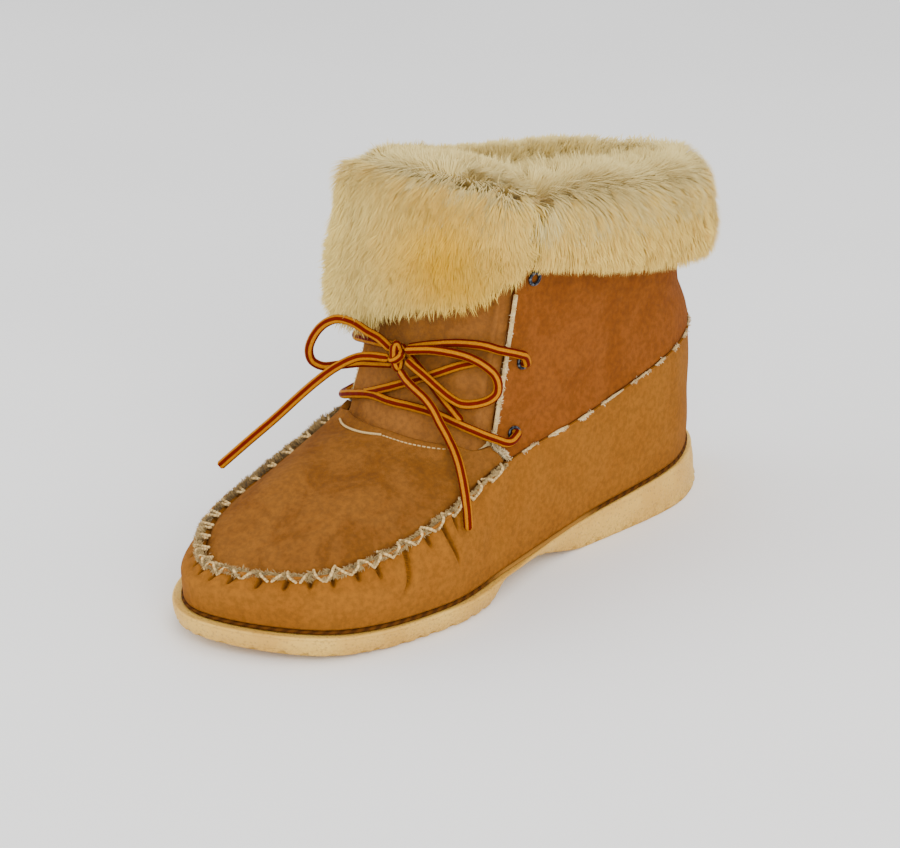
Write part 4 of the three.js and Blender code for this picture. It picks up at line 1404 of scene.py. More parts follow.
@dataclass
class Upper:
    """The wraparound lower with its raised seam, the apron, the shaft and the tongue."""

    shade_steps: tuple[int, int] = (1000, 70)
    margin: float = 13.0
    dark_band_height: float = 9.0
    tongue_darkening: float = 0.1
    relief: Relief = field(default_factory=lambda: Relief(puckers=mirrored(OUTER_PUCKERS), creases=(
        Crease((0.235, 1.75), (0.275, 0.55), 5.0, 0.9),
        Crease((0.285, 1.55), (0.262, 0.35), 4.5, 0.7),
        Crease((0.20, 1.5), (0.17, 0.5), 7.0, 0.8),
        Crease((0.765, 1.75), (0.725, 0.55), 5.0, 0.9),
        Crease((0.80, 1.5), (0.83, 0.5), 7.0, 0.8),
        Crease((0.34, 0.75), (0.42, 0.6), 6.0, -0.5),
        Crease((0.08, 1.5), (0.03, 0.7), 8.0, 0.6))))
    apron_relief: Relief = field(default_factory=lambda: Relief(creases=(
        Crease((0.33, 3.6), (0.67, 3.55), 5.0, 0.8),
        Crease((0.36, 3.1), (0.62, 3.15), 6.0, 0.6),
        Crease((0.42, 2.6), (0.55, 2.9), 8.0, -0.7))))
    shaft_relief: Relief = field(default_factory=lambda: Relief(creases=(
        Crease((0.235, 3.0), (0.16, 3.6), 5.0, 1.0),
        Crease((0.24, 3.5), (0.15, 4.3), 5.0, 0.8),
        Crease((0.20, 2.5), (0.13, 3.0), 6.0, 0.8),
        Crease((0.10, 4.5), (0.02, 4.2), 6.0, 0.7),
        Crease((0.09, 3.5), (-0.02, 3.3), 7.0, 0.7),
        Crease((-0.235, 3.0), (-0.16, 3.6), 5.0, 1.0),
        Crease((-0.24, 3.6), (-0.14, 4.3), 5.0, 0.8))))
    tongue_relief: Relief = field(default_factory=lambda: Relief(creases=(
        Crease((0.31, 4.6), (0.69, 4.55), 4.0, 0.8),
        Crease((0.34, 4.95), (0.66, 5.0), 4.0, 0.6))))

    def build(self, finishes: Finishes) -> None:
        """Builds and dresses the leather pieces.

        Args:
            finishes: The boot's finishes.
        """
        self.lower(finishes)
        self.apron(finishes)
        self.shaft(finishes)
        self.tongue(finishes)

    def lower_face(self, u: Array, v: Array) -> Array:
        """Offset of the lower's outer face from the last."""
        return self.relief.puckered(u, v) + self.relief.creased(u, v)

    def lower(self, finishes: Finishes) -> None:
        """Builds the wraparound lower.

        Args:
            finishes: The boot's finishes.
        """
        parts = ((0.0, 0.285, 90), (0.285, 0.717, 720), (0.717, 1.0, 90))
        turns = np.concatenate([np.linspace(*part, endpoint=False) for part in parts])
        rows = np.concatenate([np.linspace(0, 1.8, 34), [1.84, 1.88, 1.91]])

        def section(u: Array) -> list[tuple]:
            """Outer face, raised rim, inner face and the margin turned in underneath.

            Args:
                u: Turns.

            Returns:
                The section's corners.
            """
            rim = mix(SIDE_STEP, RIDGE, front(u))
            near = self.lower_face(u, np.full_like(u, 1.93))
            out = [(v, self.lower_face(u, np.full_like(u, v)), 0) for v in rows]
            out += [(1.93, 0.75 * rim + near, 0), (1.95, rim + 0.8 * near, 0),
                    (1.98, 1.12 * rim + 0.7 * near, 0.2), (SEAM, rim + 0.6 * near, 0)]
            return out + [(SEAM, 0.35 * rim, 0), (SEAM, -WALL, 0), (1.3, -WALL, 0), (0.6, -WALL, 0),
                          (0, -WALL, 2), (0, -WALL - self.margin, 2), (0, -WALL - self.margin, 0)]

        piece = swept("upper_lower", turns, section, True)
        points = point_rows(piece) / MM
        # Darker towards the bottom, within this height above the sole.
        low = smooth(self.dark_band_height, 0, points[:, 2] - sole_top(ORIGIN[1] - points[:, 1]) - STRIP - 2 * GAP)
        # Painted shade in the slits between the gathers.
        dark = self.slit_shade(points)
        painted_shade_and_tint(piece, np.maximum(0.18 * low, 0.95 * dark))
        finish_piece(piece, finishes.suede, "suede", "upper")

    def slit_shade(self, points: Array) -> Array:
        """How much painted shade from the gathers' slits falls on each of the lower's points.

        Args:
            points: The points, in mm.

        Returns:
            One share a point.
        """
        across, up = self.shade_steps
        u, v = (q.ravel() for q in np.meshgrid(np.linspace(0.28, 0.72, across), np.linspace(0.6, 1.95, up)))
        shade = self.relief.slits(u, v)
        keep = shade > 0.05
        places = to_frame(LAST.place(u[keep], v[keep], 0.0)) / MM
        tree = KDTree(len(places))
        for k, place in enumerate(places):
            tree.insert(Vector(place), k)
        tree.balance()
        shade = shade[keep]
        dark = np.zeros(len(points))
        for k, point in enumerate(points):
            _, near, far = tree.find(Vector(point))
            dark[k] = shade[near] * (1.0 if far < 2.0 else 0.0)
        return dark

    def apron(self, finishes: Finishes) -> None:
        """Builds the apron inside the raised seam.

        Args:
            finishes: The boot's finishes.
        """
        turns = np.linspace(INSTEP + 0.004, 1 - INSTEP - 0.004, 300)
        rows = np.linspace(SEAM - 0.03, THROAT, 34)

        def section(u: Array) -> list[tuple]:
            """Top face, rounded rear edge and underside.

            Args:
                u: Turns.

            Returns:
                The section's corners.
            """
            def face(v: float) -> Array:
                """Offset of the top face at a row, dented beside the stitches."""
                dent = 0.9 * (1 - smooth(SEAM, SEAM + 0.2, v)) - 0.42 * smooth(SEAM, SEAM + 0.25, v)
                return self.apron_relief.creased(u, np.full_like(u, v)) - GAP - dent

            out = [(v, face(v), 0) for v in rows]
            out.append((THROAT + 0.02, face(THROAT) - 0.6, 0))
            return out + [(v, -GAP - APRON_WALL, 0) for v in rows[::-5]]

        piece = swept("upper_apron", turns, section, False)
        painted_shade_and_tint(piece, np.zeros(len(piece.data.vertices)))
        # Darker suede: painted shade on the apron.
        finish_piece(piece, finishes.apron, "suede")

    def shaft(self, finishes: Finishes) -> None:
        """Builds the quarters round the ankle.

        Args:
            finishes: The boot's finishes.
        """
        turns = np.linspace(-INSTEP, INSTEP, 260)
        rows = np.linspace(SEAM + 0.02, COLLAR, 40)

        def section(u: Array) -> list[tuple]:
            """Outer face, top edge and inner face.

            Args:
                u: Turns.

            Returns:
                The section's corners.
            """
            edge = 0.35 * (1 - smooth(0, 0.01, INSTEP - np.abs(u)))
            out = [(v, self.shaft_relief.creased(u, np.full_like(u, v)) - edge, 0) for v in rows]
            return out + [(v, -WALL, 0) for v in rows[::-4]]

        piece = swept("shaft_quarters", turns, section, False)
        painted_shade_and_tint(piece, np.zeros(len(piece.data.vertices)))
        # Darker suede: painted shade on the quarters.
        finish_piece(piece, finishes.quarter, "suede", "shaft")

    def tongue(self, finishes: Finishes) -> None:
        """Builds the tongue between the quarters.

        Args:
            finishes: The boot's finishes.
        """
        turns = np.linspace(INSTEP - 0.03, 1 - INSTEP + 0.03, 200)
        rows = np.linspace(THROAT - 0.25, COLLAR, 36)

        def section(u: Array) -> list[tuple]:
            """Outer face and inner face.

            Args:
                u: Turns.

            Returns:
                The section's corners.
            """
            creased = self.tongue_relief.creased
            out = [(v, tongue_face(u, v) + creased(u, np.full_like(u, v)), 0) for v in rows]
            return out + [(v, tongue_face(u, v) - TONGUE_WALL, 0) for v in rows[::-4]]

        piece = swept("tongue_suede", turns, section, False)
        # A slight even darkening of the whole tongue.
        painted_shade_and_tint(piece, np.full(len(piece.data.vertices), self.tongue_darkening))
        finish_piece(piece, finishes.tongue, "suede", "tongue")


def tongue_face(u: Array, v: Array | float) -> Array:
    """Offset of the tongue's face from the last.

    Args:
        u: Turns.
        v: Rows.

    Returns:
        Distances out, in mm.
    """
    home = 1 - INSTEP
    middle = smooth(INSTEP + 0.01, INSTEP + 0.06, u) * (1 - smooth(home - 0.06, home - 0.01, u))
    return mix(-WALL - 2 * GAP, TONGUE_FACE, middle * smooth(THROAT + 0.1, THROAT + 0.5, v))


@dataclass
class Eyelets:
    """Small dark eyelets near the quarters' front edges."""

    places: dict[str, tuple[Side, float]] = field(default_factory=lambda: {
        "eyelet_low_outer": (Side.OUTER, 3.95), "eyelet_low_inner": (Side.INNER, 3.95),
        "eyelet_middle_outer": (Side.OUTER, 4.95), "eyelet_middle_inner": (Side.INNER, 4.9),
        "eyelet_high_outer": (Side.OUTER, 5.6)})
    bore: float = 1.75
    lip: float = 0.75
    squash: float = 0.8

    def build(self, finishes: Finishes) -> None:
        """Builds each eyelet as a rolled ring.

        Args:
            finishes: The boot's finishes.
        """
        for name, (side, row) in self.places.items():
            turn, rows = np.array([side.value * (INSTEP - EYELET_INSET)]), np.array([row])
            at = to_frame(LAST.place(turn, rows, self.lip))[0]
            out = to_frame(LAST.place(turn, rows, self.lip + 1))[0] - at
            bpy.ops.mesh.primitive_torus_add(
                major_segments=40, minor_segments=14, location=(0, 0, 0),
                major_radius=(self.bore + self.lip) * MM, minor_radius=self.lip * MM)
            ring = bpy.context.active_object
            ring.name = name + "_ring"
            turned = Vector(out).to_track_quat("Z", "Y").to_matrix().to_4x4()
            turned.translation = Vector(at)
            bpy.ops.object.mode_set(mode="EDIT")
            bpy.ops.mesh.select_all(action="SELECT")
            bpy.ops.transform.resize(value=(1, 1, self.squash))
            bpy.ops.object.mode_set(mode="OBJECT")
            ring.data.transform(turned)
            bpy.ops.object.shade_smooth()
            finish_piece(ring, finishes.metal, "eyelet_metal", name)


# How much higher the fleece stands on the outer front, in mm, and the turn where it is fullest
NEAR_RISE = 2.5
FULLEST = 0.30
# Seed of the wool's flow, and its swirls a metre
FLOW_SEED = 1795854121
FLOW_SCALE = 38


@dataclass(frozen=True)
class Coat:
    """How wool grows: lengths and widths in mm, shares of 1, and a count where it is scattered."""

    count: int
    length: tuple[float, float]
    width: float
    lie: float
    stray: float
    clump: float
    clump_size: int
    curl: float
    dark: float
    seed: int
    warm_at: tuple[float, float, float] = (0.0, 0.0, 0.0)     # turn, row and distance out
    warm_reach: float = 0.0


@dataclass
class Roots:
    """Where strands start: places and outward ways, with the way that the wool is combed there."""

    at: Array
    out: Array
    comb: Array
    scale: Array
    most: Array | float = 1.0


def near(turn: Array) -> Array:
    """How far a turn is on the outer front, where the photograph shows the fleece fullest."""
    return smooth(0.0, 1.0, 0.5 + 0.5 * np.cos(TAU * (turn - FULLEST)))


def unit(rows: Array) -> Array:
    """Rows turned to length 1."""
    return rows / np.maximum(np.linalg.norm(rows, axis=1), 1e-9)[:, None]


def warmth(at: Array, coat: Coat) -> Array:
    """How warm the wool's colour is at its roots.

    Args:
        at: The roots.
        coat: How the wool grows.

    Returns:
        Shares of 1.
    """
    if not coat.warm_reach:
        return np.zeros(len(at))
    turn, row, out = (np.array([value]) for value in coat.warm_at)
    away = np.linalg.norm(at - to_frame(LAST.place(turn, row, out)), axis=1) / MM
    return np.exp(-(away / coat.warm_reach) ** 2)


def strands(name: str, roots: Roots, coat: Coat) -> bpy.types.Object:
    """Grows strands as tapered ribbons of three faces.

    Args:
        name: The piece's name.
        roots: Where they start.
        coat: How they grow.

    Returns:
        The object, with its point colours "tone": how far along a strand, how dark and how warm.
    """
    rng = np.random.default_rng(coat.seed)
    count = len(roots.at)
    length = rng.uniform(*coat.length, count) * roots.scale * MM
    heads = rng.choice(count, max(1, count // coat.clump_size), replace=False)
    tree = KDTree(len(heads))
    for k, head in enumerate(heads):
        tree.insert(Vector(roots.at[head]), k)
    tree.balance()
    lock = np.array([tree.find(Vector(p))[1] for p in roots.at])
    head = heads[lock]
    lock_stray = rng.normal(0, 1, (len(heads), 3))[lock]
    lock_dark = rng.uniform(0, 1, len(heads))[lock]
    lock_length = rng.uniform(0.92, 1.08, len(heads))[lock]
    lock_phase = rng.uniform(0, TAU, len(heads))[lock]
    own_stray = rng.normal(0, 1, (count, 3))
    length = np.minimum(length * lock_length, roots.most)
    noise.seed_set(FLOW_SEED)
    flow = np.array([noise.noise_vector(Vector(p) * FLOW_SCALE) for p in roots.at])
    way = unit(roots.out * (1 - coat.lie) + roots.comb * coat.lie
               + coat.stray * (1.3 * flow + 0.35 * lock_stray + 0.5 * own_stray))
    inward = np.minimum(0, (way * roots.out).sum(axis=1) - 0.08)
    way = unit(way - roots.out * inward[:, None])
    start = roots.at - roots.out * 0.6 * MM
    head_tip = roots.at[head] + way[head] * length[head][:, None]
    tip = start + way * length[:, None]
    tip = tip + (head_tip - tip) * coat.clump * rng.uniform(0.3, 1.0, count)[:, None]
    side = unit(np.cross(way, roots.out) + 1e-6)
    half = 0.5 * coat.width * MM * rng.uniform(0.7, 1.2, count)
    warm = warmth(roots.at, coat)
    rows, tones = [], []
    for share, edges in ((0.0, (-1, 1)), (0.52, (-1, 1)), (1.0, (0,))):
        lift = roots.out * (share * (1 - share) * 0.9 * length * (0.4 + coat.lie))[:, None]
        bend = np.sin(lock_phase + 5.0 * share)[:, None] * side * (coat.curl * share * MM)
        middle = start + (tip - start) * share + lift + bend
        shade = np.column_stack([np.full(count, share ** 0.6), lock_dark * coat.dark, warm, np.ones(count)])
        rows += [middle + side * (edge * half)[:, None] for edge in edges]
        tones += [shade] * len(edges)
    points = np.stack(rows, axis=1).reshape(-1, 3)
    tone = np.stack(tones, axis=1).reshape(-1, 4)
    pattern = np.array([[0, 1, 3], [0, 3, 2], [2, 3, 4]])
    faces = (pattern[None] + len(rows) * np.arange(count)[:, None, None]).reshape(-1, 3)
    piece = mesh_from(name, points, faces)
    layer = piece.data.attributes.new("tone", "FLOAT_COLOR", "POINT")
    layer.data.foreach_set("color", tone.astype(np.float32).ravel())
    return piece


@dataclass
class Skin:
    """A fold's skin as a grid of turns by corners, with each corner's place in the section."""

    piece: bpy.types.Object
    turns: Array
    points: Array
    normals: Array
    shares: Array

    def band(self, start: float, full: float, fade: float, end: float) -> Array:
        """How densely a band of the section is covered.

        Args:
            start: Where it starts.
            full: Where it is full.
            fade: Where it starts to thin.
            end: Where it ends.

        Returns:
            One share a corner, the same at every turn.
        """
        share = smooth(start, full, self.shares) * (1 - smooth(fade, end, self.shares))
        return np.tile(share, (len(self.turns), 1))


@dataclass
class Folded:
    """Fleece folded over the collar's edge, as a lumpy skin that carries wool."""

    name: str
    turns: Array
    thick: float
    slot: Callable[[Array], tuple[Array, Array]]
    fine: int = 4
    lump: float = 0.6
    shrink: float = 0.62
    last_round: int = 12

    def corners(self) -> Array:
        """The fold's section at every turn.

        Returns:
            Corners by turns by row, distance out and lift.
        """
        u = self.turns
        hem = closed_curve(np.array(HEM)[:, None], u)[:, 0]
        outer, inner = self.slot(u)
        corner = edge_distance(u)
        full = smooth(0.02, 0.08, corner)
        roll = self.shrink * self.thick * mix(0.66, 1, smooth(0, 0.06, corner))
        pile = 2.6 * PILE * mix(0.1, 1, full)
        rise = FLEECE_RISE * self.shrink + NEAR_RISE * near(u)

        def row(share: float) -> Array:
            """Row at a share of the way from the hem to the collar."""
            return mix(hem, COLLAR, share)

        def inside(share: float) -> Array:
            """Row inside the shaft."""
            return COLLAR - share * mix(0.06, 1, full)

        top = np.full_like(u, COLLAR)
        table = [
            (hem, outer, 0), (hem, 0.35 * roll, -2), (hem, 0.65 * roll, -2.5), (row(0.2), 0.9 * roll, 0),
            (row(0.5), roll, 0), (row(0.8), 0.93 * roll, 0), (top, 0.68 * roll, 3),
            (top, 0.36 * roll, rise * 0.85), (top, 0, rise),
            (top, inner + mix(2, -0.4 * pile, full), rise * 0.8), (inside(0.1), inner - pile, 0),
            (inside(0.4), inner - pile, 0), (inside(0.55), inner, 0), (top, inner, 0.6), (top, outer, 0.6)]
        lines = [[np.broadcast_to(value, u.shape) for value in line] for line in table]
        return np.array(lines).transpose(0, 2, 1)

    def build(self) -> Skin:
        """Builds the skin.

        Returns:
            The skin.
        """
        table = self.corners()
        places, shares = [], []
        for k in range(len(table)):
            four = [table[(k + q) % len(table)] for q in (-1, 0, 1, 2)]
            for f in np.arange(self.fine) / self.fine:
                places.append(cubic(four, f) if 0 < k < self.last_round else mix(four[1], four[2], f))
                shares.append(k + f)
        grid = np.stack([LAST.place(self.turns, p[:, 0], p[:, 1], p[:, 2]) for p in places], axis=1)
        size = grid.shape[:2]
        points = to_frame(grid.reshape(-1, 3))
        piece = mesh_from(self.name, points, grid_faces(size[0], size[1], False, True))
        only(piece)
        bpy.ops.object.mode_set(mode="EDIT")
        bpy.ops.mesh.select_all(action="DESELECT")
        bpy.ops.mesh.select_non_manifold()
        bpy.ops.mesh.fill_holes(sides=0)
        bpy.ops.mesh.select_all(action="SELECT")
        bpy.ops.mesh.normals_make_consistent(inside=False)
        bpy.ops.object.mode_set(mode="OBJECT")
        normals = np.empty(3 * len(points), np.float32)
        piece.data.vertices.foreach_get("normal", normals)
        normals = normals.reshape(-1, 3).astype(float)
        share = np.tile(np.array(shares), size[0])
        free = smooth(0.4, 1.5, share) * (1 - smooth(11.0, 12.0, share))
        bumps = np.array([noise.noise(Vector(p) * 95) + 0.5 * noise.noise(Vector(p) * 210) for p in points])
        points = points + normals * (free * bumps * self.lump * MM)[:, None]
        piece.data.vertices.foreach_set("co", points.astype(np.float32).ravel())
        piece.data.update()
        return Skin(piece, self.turns, points.reshape(*size, 3), normals.reshape(*size, 3), np.array(shares))


def scatter(skin: Skin, keep: Array, coat: Coat) -> tuple[Array, Array, Array]:
    """Scatters places evenly over a skin's faces.

    Args:
        skin: The skin.
        keep: How densely each corner is covered, as turns by corners.
        coat: How the wool grows.

    Returns:
        The places, their outward ways, and their places in the grid as two columns.
    """
    rng = np.random.default_rng(coat.seed)
    points = skin.points
    a, b, c, d = points[:-1, :-1], points[1:, :-1], points[1:, 1:], points[:-1, 1:]
    area = np.linalg.norm(np.cross(c - a, d - b), axis=2) * keep[:-1, :-1]
    chosen = rng.choice(area.size, coat.count, p=(area / area.sum()).ravel())
    i, j = np.divmod(chosen, area.shape[1])
    s, t = rng.uniform(0, 1, (2, coat.count))

    def read(grid: Array) -> Array:
        """Reads a grid at the chosen places.

        Args:
            grid: Turns by corners by 3.

        Returns:
            One row a place.
        """
        return (grid[i, j] * ((1 - s) * (1 - t))[:, None] + grid[i + 1, j] * (s * (1 - t))[:, None]
                + grid[i + 1, j + 1] * (s * t)[:, None] + grid[i, j + 1] * ((1 - s) * t)[:, None])

    return read(points), unit(read(skin.normals)), np.column_stack([i + s, j + t])


@dataclass
class Fleece:
    """The turned-down cuff round the sides and the back, and the longer flap in front."""

    side: Coat = Coat(47000, (10.0, 13.0), width=0.38, lie=0.52, stray=0.16, clump=0.06, clump_size=30,
                      curl=0.25, dark=0.18, seed=3)
    flap: Coat = Coat(47000, (11.0, 15.0), width=0.38, lie=0.50, stray=0.18, clump=0.08, clump_size=30,
                      curl=0.3, dark=0.20, seed=5, warm_at=(0.40, 5.78, 12.0), warm_reach=26.0)
    top: Coat = Coat(36000, (9.0, 12.5), width=0.40, lie=0.50, stray=0.20, clump=0.08, clump_size=30,
                     curl=0.4, dark=0.18, seed=4)
    inner: Coat = Coat(22000, (11.0, 16.0), width=0.62, lie=0.12, stray=0.24, clump=0.10, clump_size=30,
                       curl=0.6, dark=0.18, seed=8)
    flap_top_count: int = 22000
    flap_inner_count: int = 9000
    # Bands of the section that each coat covers: where it starts, is full, starts to thin and ends
    side_band: tuple[float, float, float, float] = (0.8, 1.6, 6.2, 7.4)
    top_band: tuple[float, float, float, float] = (4.8, 6.2, 8.8, 9.6)
    inner_band: tuple[float, float, float, float] = (8.6, 9.4, 10.3, 10.7)
    hem_out: float = 8.0            # distance out at which the hem's height is read
    cropped: float = 0.6            # how far the cuff's hairs may pass the hem
    shaggy: tuple[float, float] = (1.0, 5.5)    # the same for the flap's: the least, and what chance adds
    fuller: float = 0.30            # how much longer the crest's hairs are on the outer front
    shorter: float = 0.10           # and how much shorter all of the crest's are

    def build(self, finishes: Finishes) -> None:
        """Builds and dresses both.

        Args:
            finishes: The boot's finishes.
        """
        def rear_slot(u: Array) -> tuple[Array, Array]:
            """Outer and inner faces of what the cuff folds over."""
            over = smooth(INSTEP - 0.065, INSTEP - 0.042, np.abs(u))
            return np.full_like(u, 2 * GAP), -WALL - 2 * GAP - over * (TONGUE_WALL + 2 * GAP)

        def front_slot(u: Array) -> tuple[Array, Array]:
            """Outer and inner faces of what the flap folds over."""
            face = tongue_face(u, COLLAR)
            return face + 3 * GAP, face - TONGUE_WALL - 4 * GAP

        rear, ahead = np.linspace(-0.229, INSTEP, 220), np.linspace(0.2705, 0.7127, 180)
        self.grow(Folded("cuff_skin", rear, CUFF_THICK, rear_slot), Fold.CUFF, finishes)
        self.grow(Folded("flap_skin", ahead, FLAP_THICK, front_slot), Fold.FLAP, finishes)

    def grow(self, folded: Folded, fold: Fold, finishes: Finishes) -> None:
        """Builds one fold's skin and its wool.

        Args:
            folded: The fold's skin, to be built.
            fold: Which fold it is.
            finishes: The boot's finishes.
        """
        skin = folded.build()
        finish_piece(skin.piece, finishes.skin, fold.slot, fold.value)
        coat, finish, top, inner = self.side, finishes.ivory, self.top, self.inner
        if fold is Fold.FLAP:
            coat, finish = self.flap, finishes.yellow
            top = replace(top, count=self.flap_top_count)
            inner = replace(inner, count=self.flap_inner_count)
        self.cover(f"{fold.value}_wool", skin, self.side_band, coat, finish, fold)
        self.cover(f"{fold.value}_wool_top", skin, self.top_band, top, finishes.grey, fold)
        self.cover(f"{fold.value}_wool_inside", skin, self.inner_band, inner, finishes.grey, fold)

    def combed(self, skin: Skin, out: Array, where: Array, turns: Array, section: Array) -> Array:
        """The way that the wool is combed: down outside, outwards over the top, ahead at the ends.

        Args:
            skin: The skin.
            out: Outward ways at the roots.
            where: The roots' places in the skin's grid.
            turns: Their turns.
            section: Their places in the section.

        Returns:
            One way a root.
        """
        down = np.tile((0.0, 0.0, -1.0), (len(out), 1))
        down = unit(down - out * (down * out).sum(axis=1)[:, None] + 1e-6)
        fan = unit(np.column_stack([out[:, 0], out[:, 1], np.zeros(len(out))]) + 1e-6)
        ahead = unit(np.gradient(skin.points, axis=0)[where[:, 0].astype(int), where[:, 1].astype(int)])
        ends = smooth(0.03, 0.0, skin.turns[-1] - turns) - smooth(0.03, 0.0, turns - skin.turns[0])
        ends *= np.where(np.abs(turns - INSTEP) < 0.1, 0.3, 1.4)
        lean = smooth(9.3, 7.2, section) * (1 + 0.7 * smooth(4.0, 5.5, section))
        spread = 0.5 * smooth(8.5, 10.0, section)
        return down * lean[:, None] + fan * spread[:, None] + ahead * ends[:, None]

    def cover(self, name: str, skin: Skin, band: tuple[float, float, float, float], coat: Coat,
              finish: bpy.types.Material, fold: Fold) -> None:
        """Covers a band of a skin with wool, the cuff's cropped level at its hem.

        Args:
            name: The piece's name.
            skin: The skin.
            band: The band of its section.
            coat: How the wool grows.
            finish: Its finish.
            fold: Which fold it is.
        """
        at, out, where = scatter(skin, skin.band(*band), coat)
        section = np.interp(where[:, 1], np.arange(len(skin.shares)), skin.shares)
        turns = np.interp(where[:, 0], np.arange(len(skin.turns)), skin.turns)
        comb = self.combed(skin, out, where, turns, section)
        hem = closed_curve(np.array(HEM)[:, None], turns)[:, 0]
        floor = to_frame(LAST.place(turns, hem, self.hem_out))[:, 2]
        least, more = self.shaggy
        rng = np.random.default_rng(coat.seed + 50)
        spare = self.cropped if fold is Fold.CUFF else least + more * rng.uniform(0, 1, len(at)) ** 3
        room = np.maximum(at[:, 2] - floor, 0) + spare * MM
        most = np.where(section < 6, room / np.maximum(0.25, coat.lie), 1.0)
        scale = 1 + smooth(5.0, 7.0, section) * (self.fuller * near(turns) - self.shorter)
        piece = strands(name, Roots(at, out, comb, scale, most), coat)
        finish_piece(piece, finish, fold.slot)


@dataclass
class Stitching:
    """Hand stitches over the raised seam, and the fleece that shows at the cut edges."""

    pitch: float = 0.0185
    thread: float = 0.62
    seam_coat: Coat = Coat(11000, (2.2, 4.0), width=0.42, lie=0.4, stray=0.55, clump=0.4, clump_size=30,
                           curl=0.5, dark=0.9, seed=21)
    edge_coat: Coat = Coat(0, (1.2, 2.4), width=0.4, lie=0.45, stray=0.5, clump=0.3, clump_size=20,
                           curl=0.4, dark=0.5, seed=22)

    def build(self, finishes: Finishes) -> None:
        """Builds and dresses the stitches and the edges.

        Args:
            finishes: The boot's finishes.
        """
        self.toe(finishes)
        finish_piece(strands("seam_fuzz", self.seam_roots(), self.seam_coat), finishes.edge, "suede")
        lines = self.cut_edges(finishes)
        self.throat(finishes)
        roots = Roots(*(np.vstack([getattr(line, part) for line in lines]) for part in ("at", "out", "comb")),
                      np.ones(sum(len(line.at) for line in lines)))
        finish_piece(strands("edge_fuzz", roots, self.edge_coat), finishes.pale_edge, "suede")

    def leg(self, tubes: TubeSet, start: tuple[float, float, float], over: tuple[float, float, float],
            end: tuple[float, float, float]) -> None:
        """Adds one stitch leg through three places: turn, row and distance out.

        Args:
            tubes: The tubes that it joins.
            start: Where it starts.
            over: Where it passes over the seam.
            end: Where it ends.
        """
        rows = np.array([start, over, end])
        fine = centripetal(rows * (400, 10, 1), 6) / (400, 10, 1)
        line = to_frame(LAST.place(fine[:, 0], fine[:, 1], fine[:, 2]))
        tubes.add(line, self.thread * MM)

    def toe(self, finishes: Finishes) -> None:
        """Builds the crossed stitches round the toe.

        Args:
            finishes: The boot's finishes.
        """
        tubes = TubeSet(sides=8)
        rng = np.random.default_rng(11)
        turns = np.arange(0.268, 0.735, self.pitch)
        for turn in turns + rng.uniform(-0.0012, 0.0012, len(turns)):
            rim = float(mix(SIDE_STEP, RIDGE, front(np.array([turn]))[0]))
            low = (turn, 1.83 + rng.uniform(-0.03, 0.03), 0.5)
            for way in (-1, 1):
                reach = 0.5 * self.pitch * rng.uniform(0.85, 1.15)
                top = (turn + way * 0.6 * reach, 1.985, 1.22 * rim + 0.45)
                far = (turn + way * reach, 2.13 + rng.uniform(-0.03, 0.03), 0.2)
                self.leg(tubes, low, top, far)
        finish_piece(tubes.mesh("seam_stitches"), finishes.thread, "suede")

    def seam_roots(self) -> Roots:
        """Roots of the wool along the raised seam's cut edge.

        Returns:
            The roots.
        """
        rng = np.random.default_rng(self.seam_coat.seed)
        count = self.seam_coat.count
        u = rng.uniform(INSTEP + 0.005, 1 - INSTEP - 0.005, count)
        v = SEAM + rng.normal(0.01, 0.03, count)
        n = mix(SIDE_STEP, RIDGE, front(u)) * rng.uniform(0.55, 1.0, count)
        at = to_frame(LAST.place(u, v, n))
        out = unit(to_frame(LAST.place(u, v, n + 1)) - at)
        ahead = unit(to_frame(LAST.place(u + 0.002, v, n)) - at)
        return Roots(at, out, ahead * rng.choice((-1, 1), count)[:, None], np.ones(count))

    def edge_line(self, u: Array, v: Array, n: float, spread: float, count: int, seed: int) -> Roots:
        """Roots along a cut edge.

        Args:
            u: Its turns.
            v: Its rows.
            n: Its distance out.
            spread: How far the roots stray in and out.
            count: How many.
            seed: Seed of the draw.

        Returns:
            The roots.
        """
        rng = np.random.default_rng(seed)
        share = rng.uniform(0, len(u) - 1, count)
        a, b = np.interp(share, np.arange(len(u)), u), np.interp(share, np.arange(len(u)), v)
        out_by = n + rng.normal(0, spread, count)
        at = to_frame(LAST.place(a, b, out_by))
        out = unit(to_frame(LAST.place(a, b, out_by + 1)) - at)
        ahead = unit(rng.normal(0, 1, (count, 3)))
        return Roots(at, out, ahead, np.ones(count))

    def cut_edges(self, finishes: Finishes) -> list[Roots]:
        """Builds the pale cut edges of the side seam and of the quarters' fronts.

        Args:
            finishes: The boot's finishes.

        Returns:
            The roots of the wool along each.
        """
        edges = TubeSet(sides=8)
        rng = np.random.default_rng(31)
        first = -INSTEP + 0.014
        lines = []
        while first < INSTEP - 0.02:
            last = first + rng.uniform(0.006, 0.024)
            u = np.linspace(first, min(last, INSTEP - 0.012), 12)
            line = to_frame(LAST.place(u, np.full_like(u, 2.012), 0.7))
            edges.add(line, rng.uniform(0.4, 0.75) * MM * np.sin(np.linspace(0.5, math.pi - 0.5, len(u))))
            lines.append(self.edge_line(u, np.full_like(u, 2.015), 0.7, 0.25, 70, len(lines) + 60))
            first = last + rng.uniform(0.003, 0.011)
        for side in (Side.INNER, Side.OUTER):
            v = np.linspace(2.12, 5.5, 90)
            turn = np.full_like(v, side.value * (INSTEP - 0.0005))
            edges.add(to_frame(LAST.place(turn, v, -0.9)), 0.95 * MM)
            lines.append(self.edge_line(turn, v, -0.6, 0.5, 1500, 90 + side.value))
        finish_piece(edges.mesh("cut_edges"), finishes.lining, "suede")
        return lines

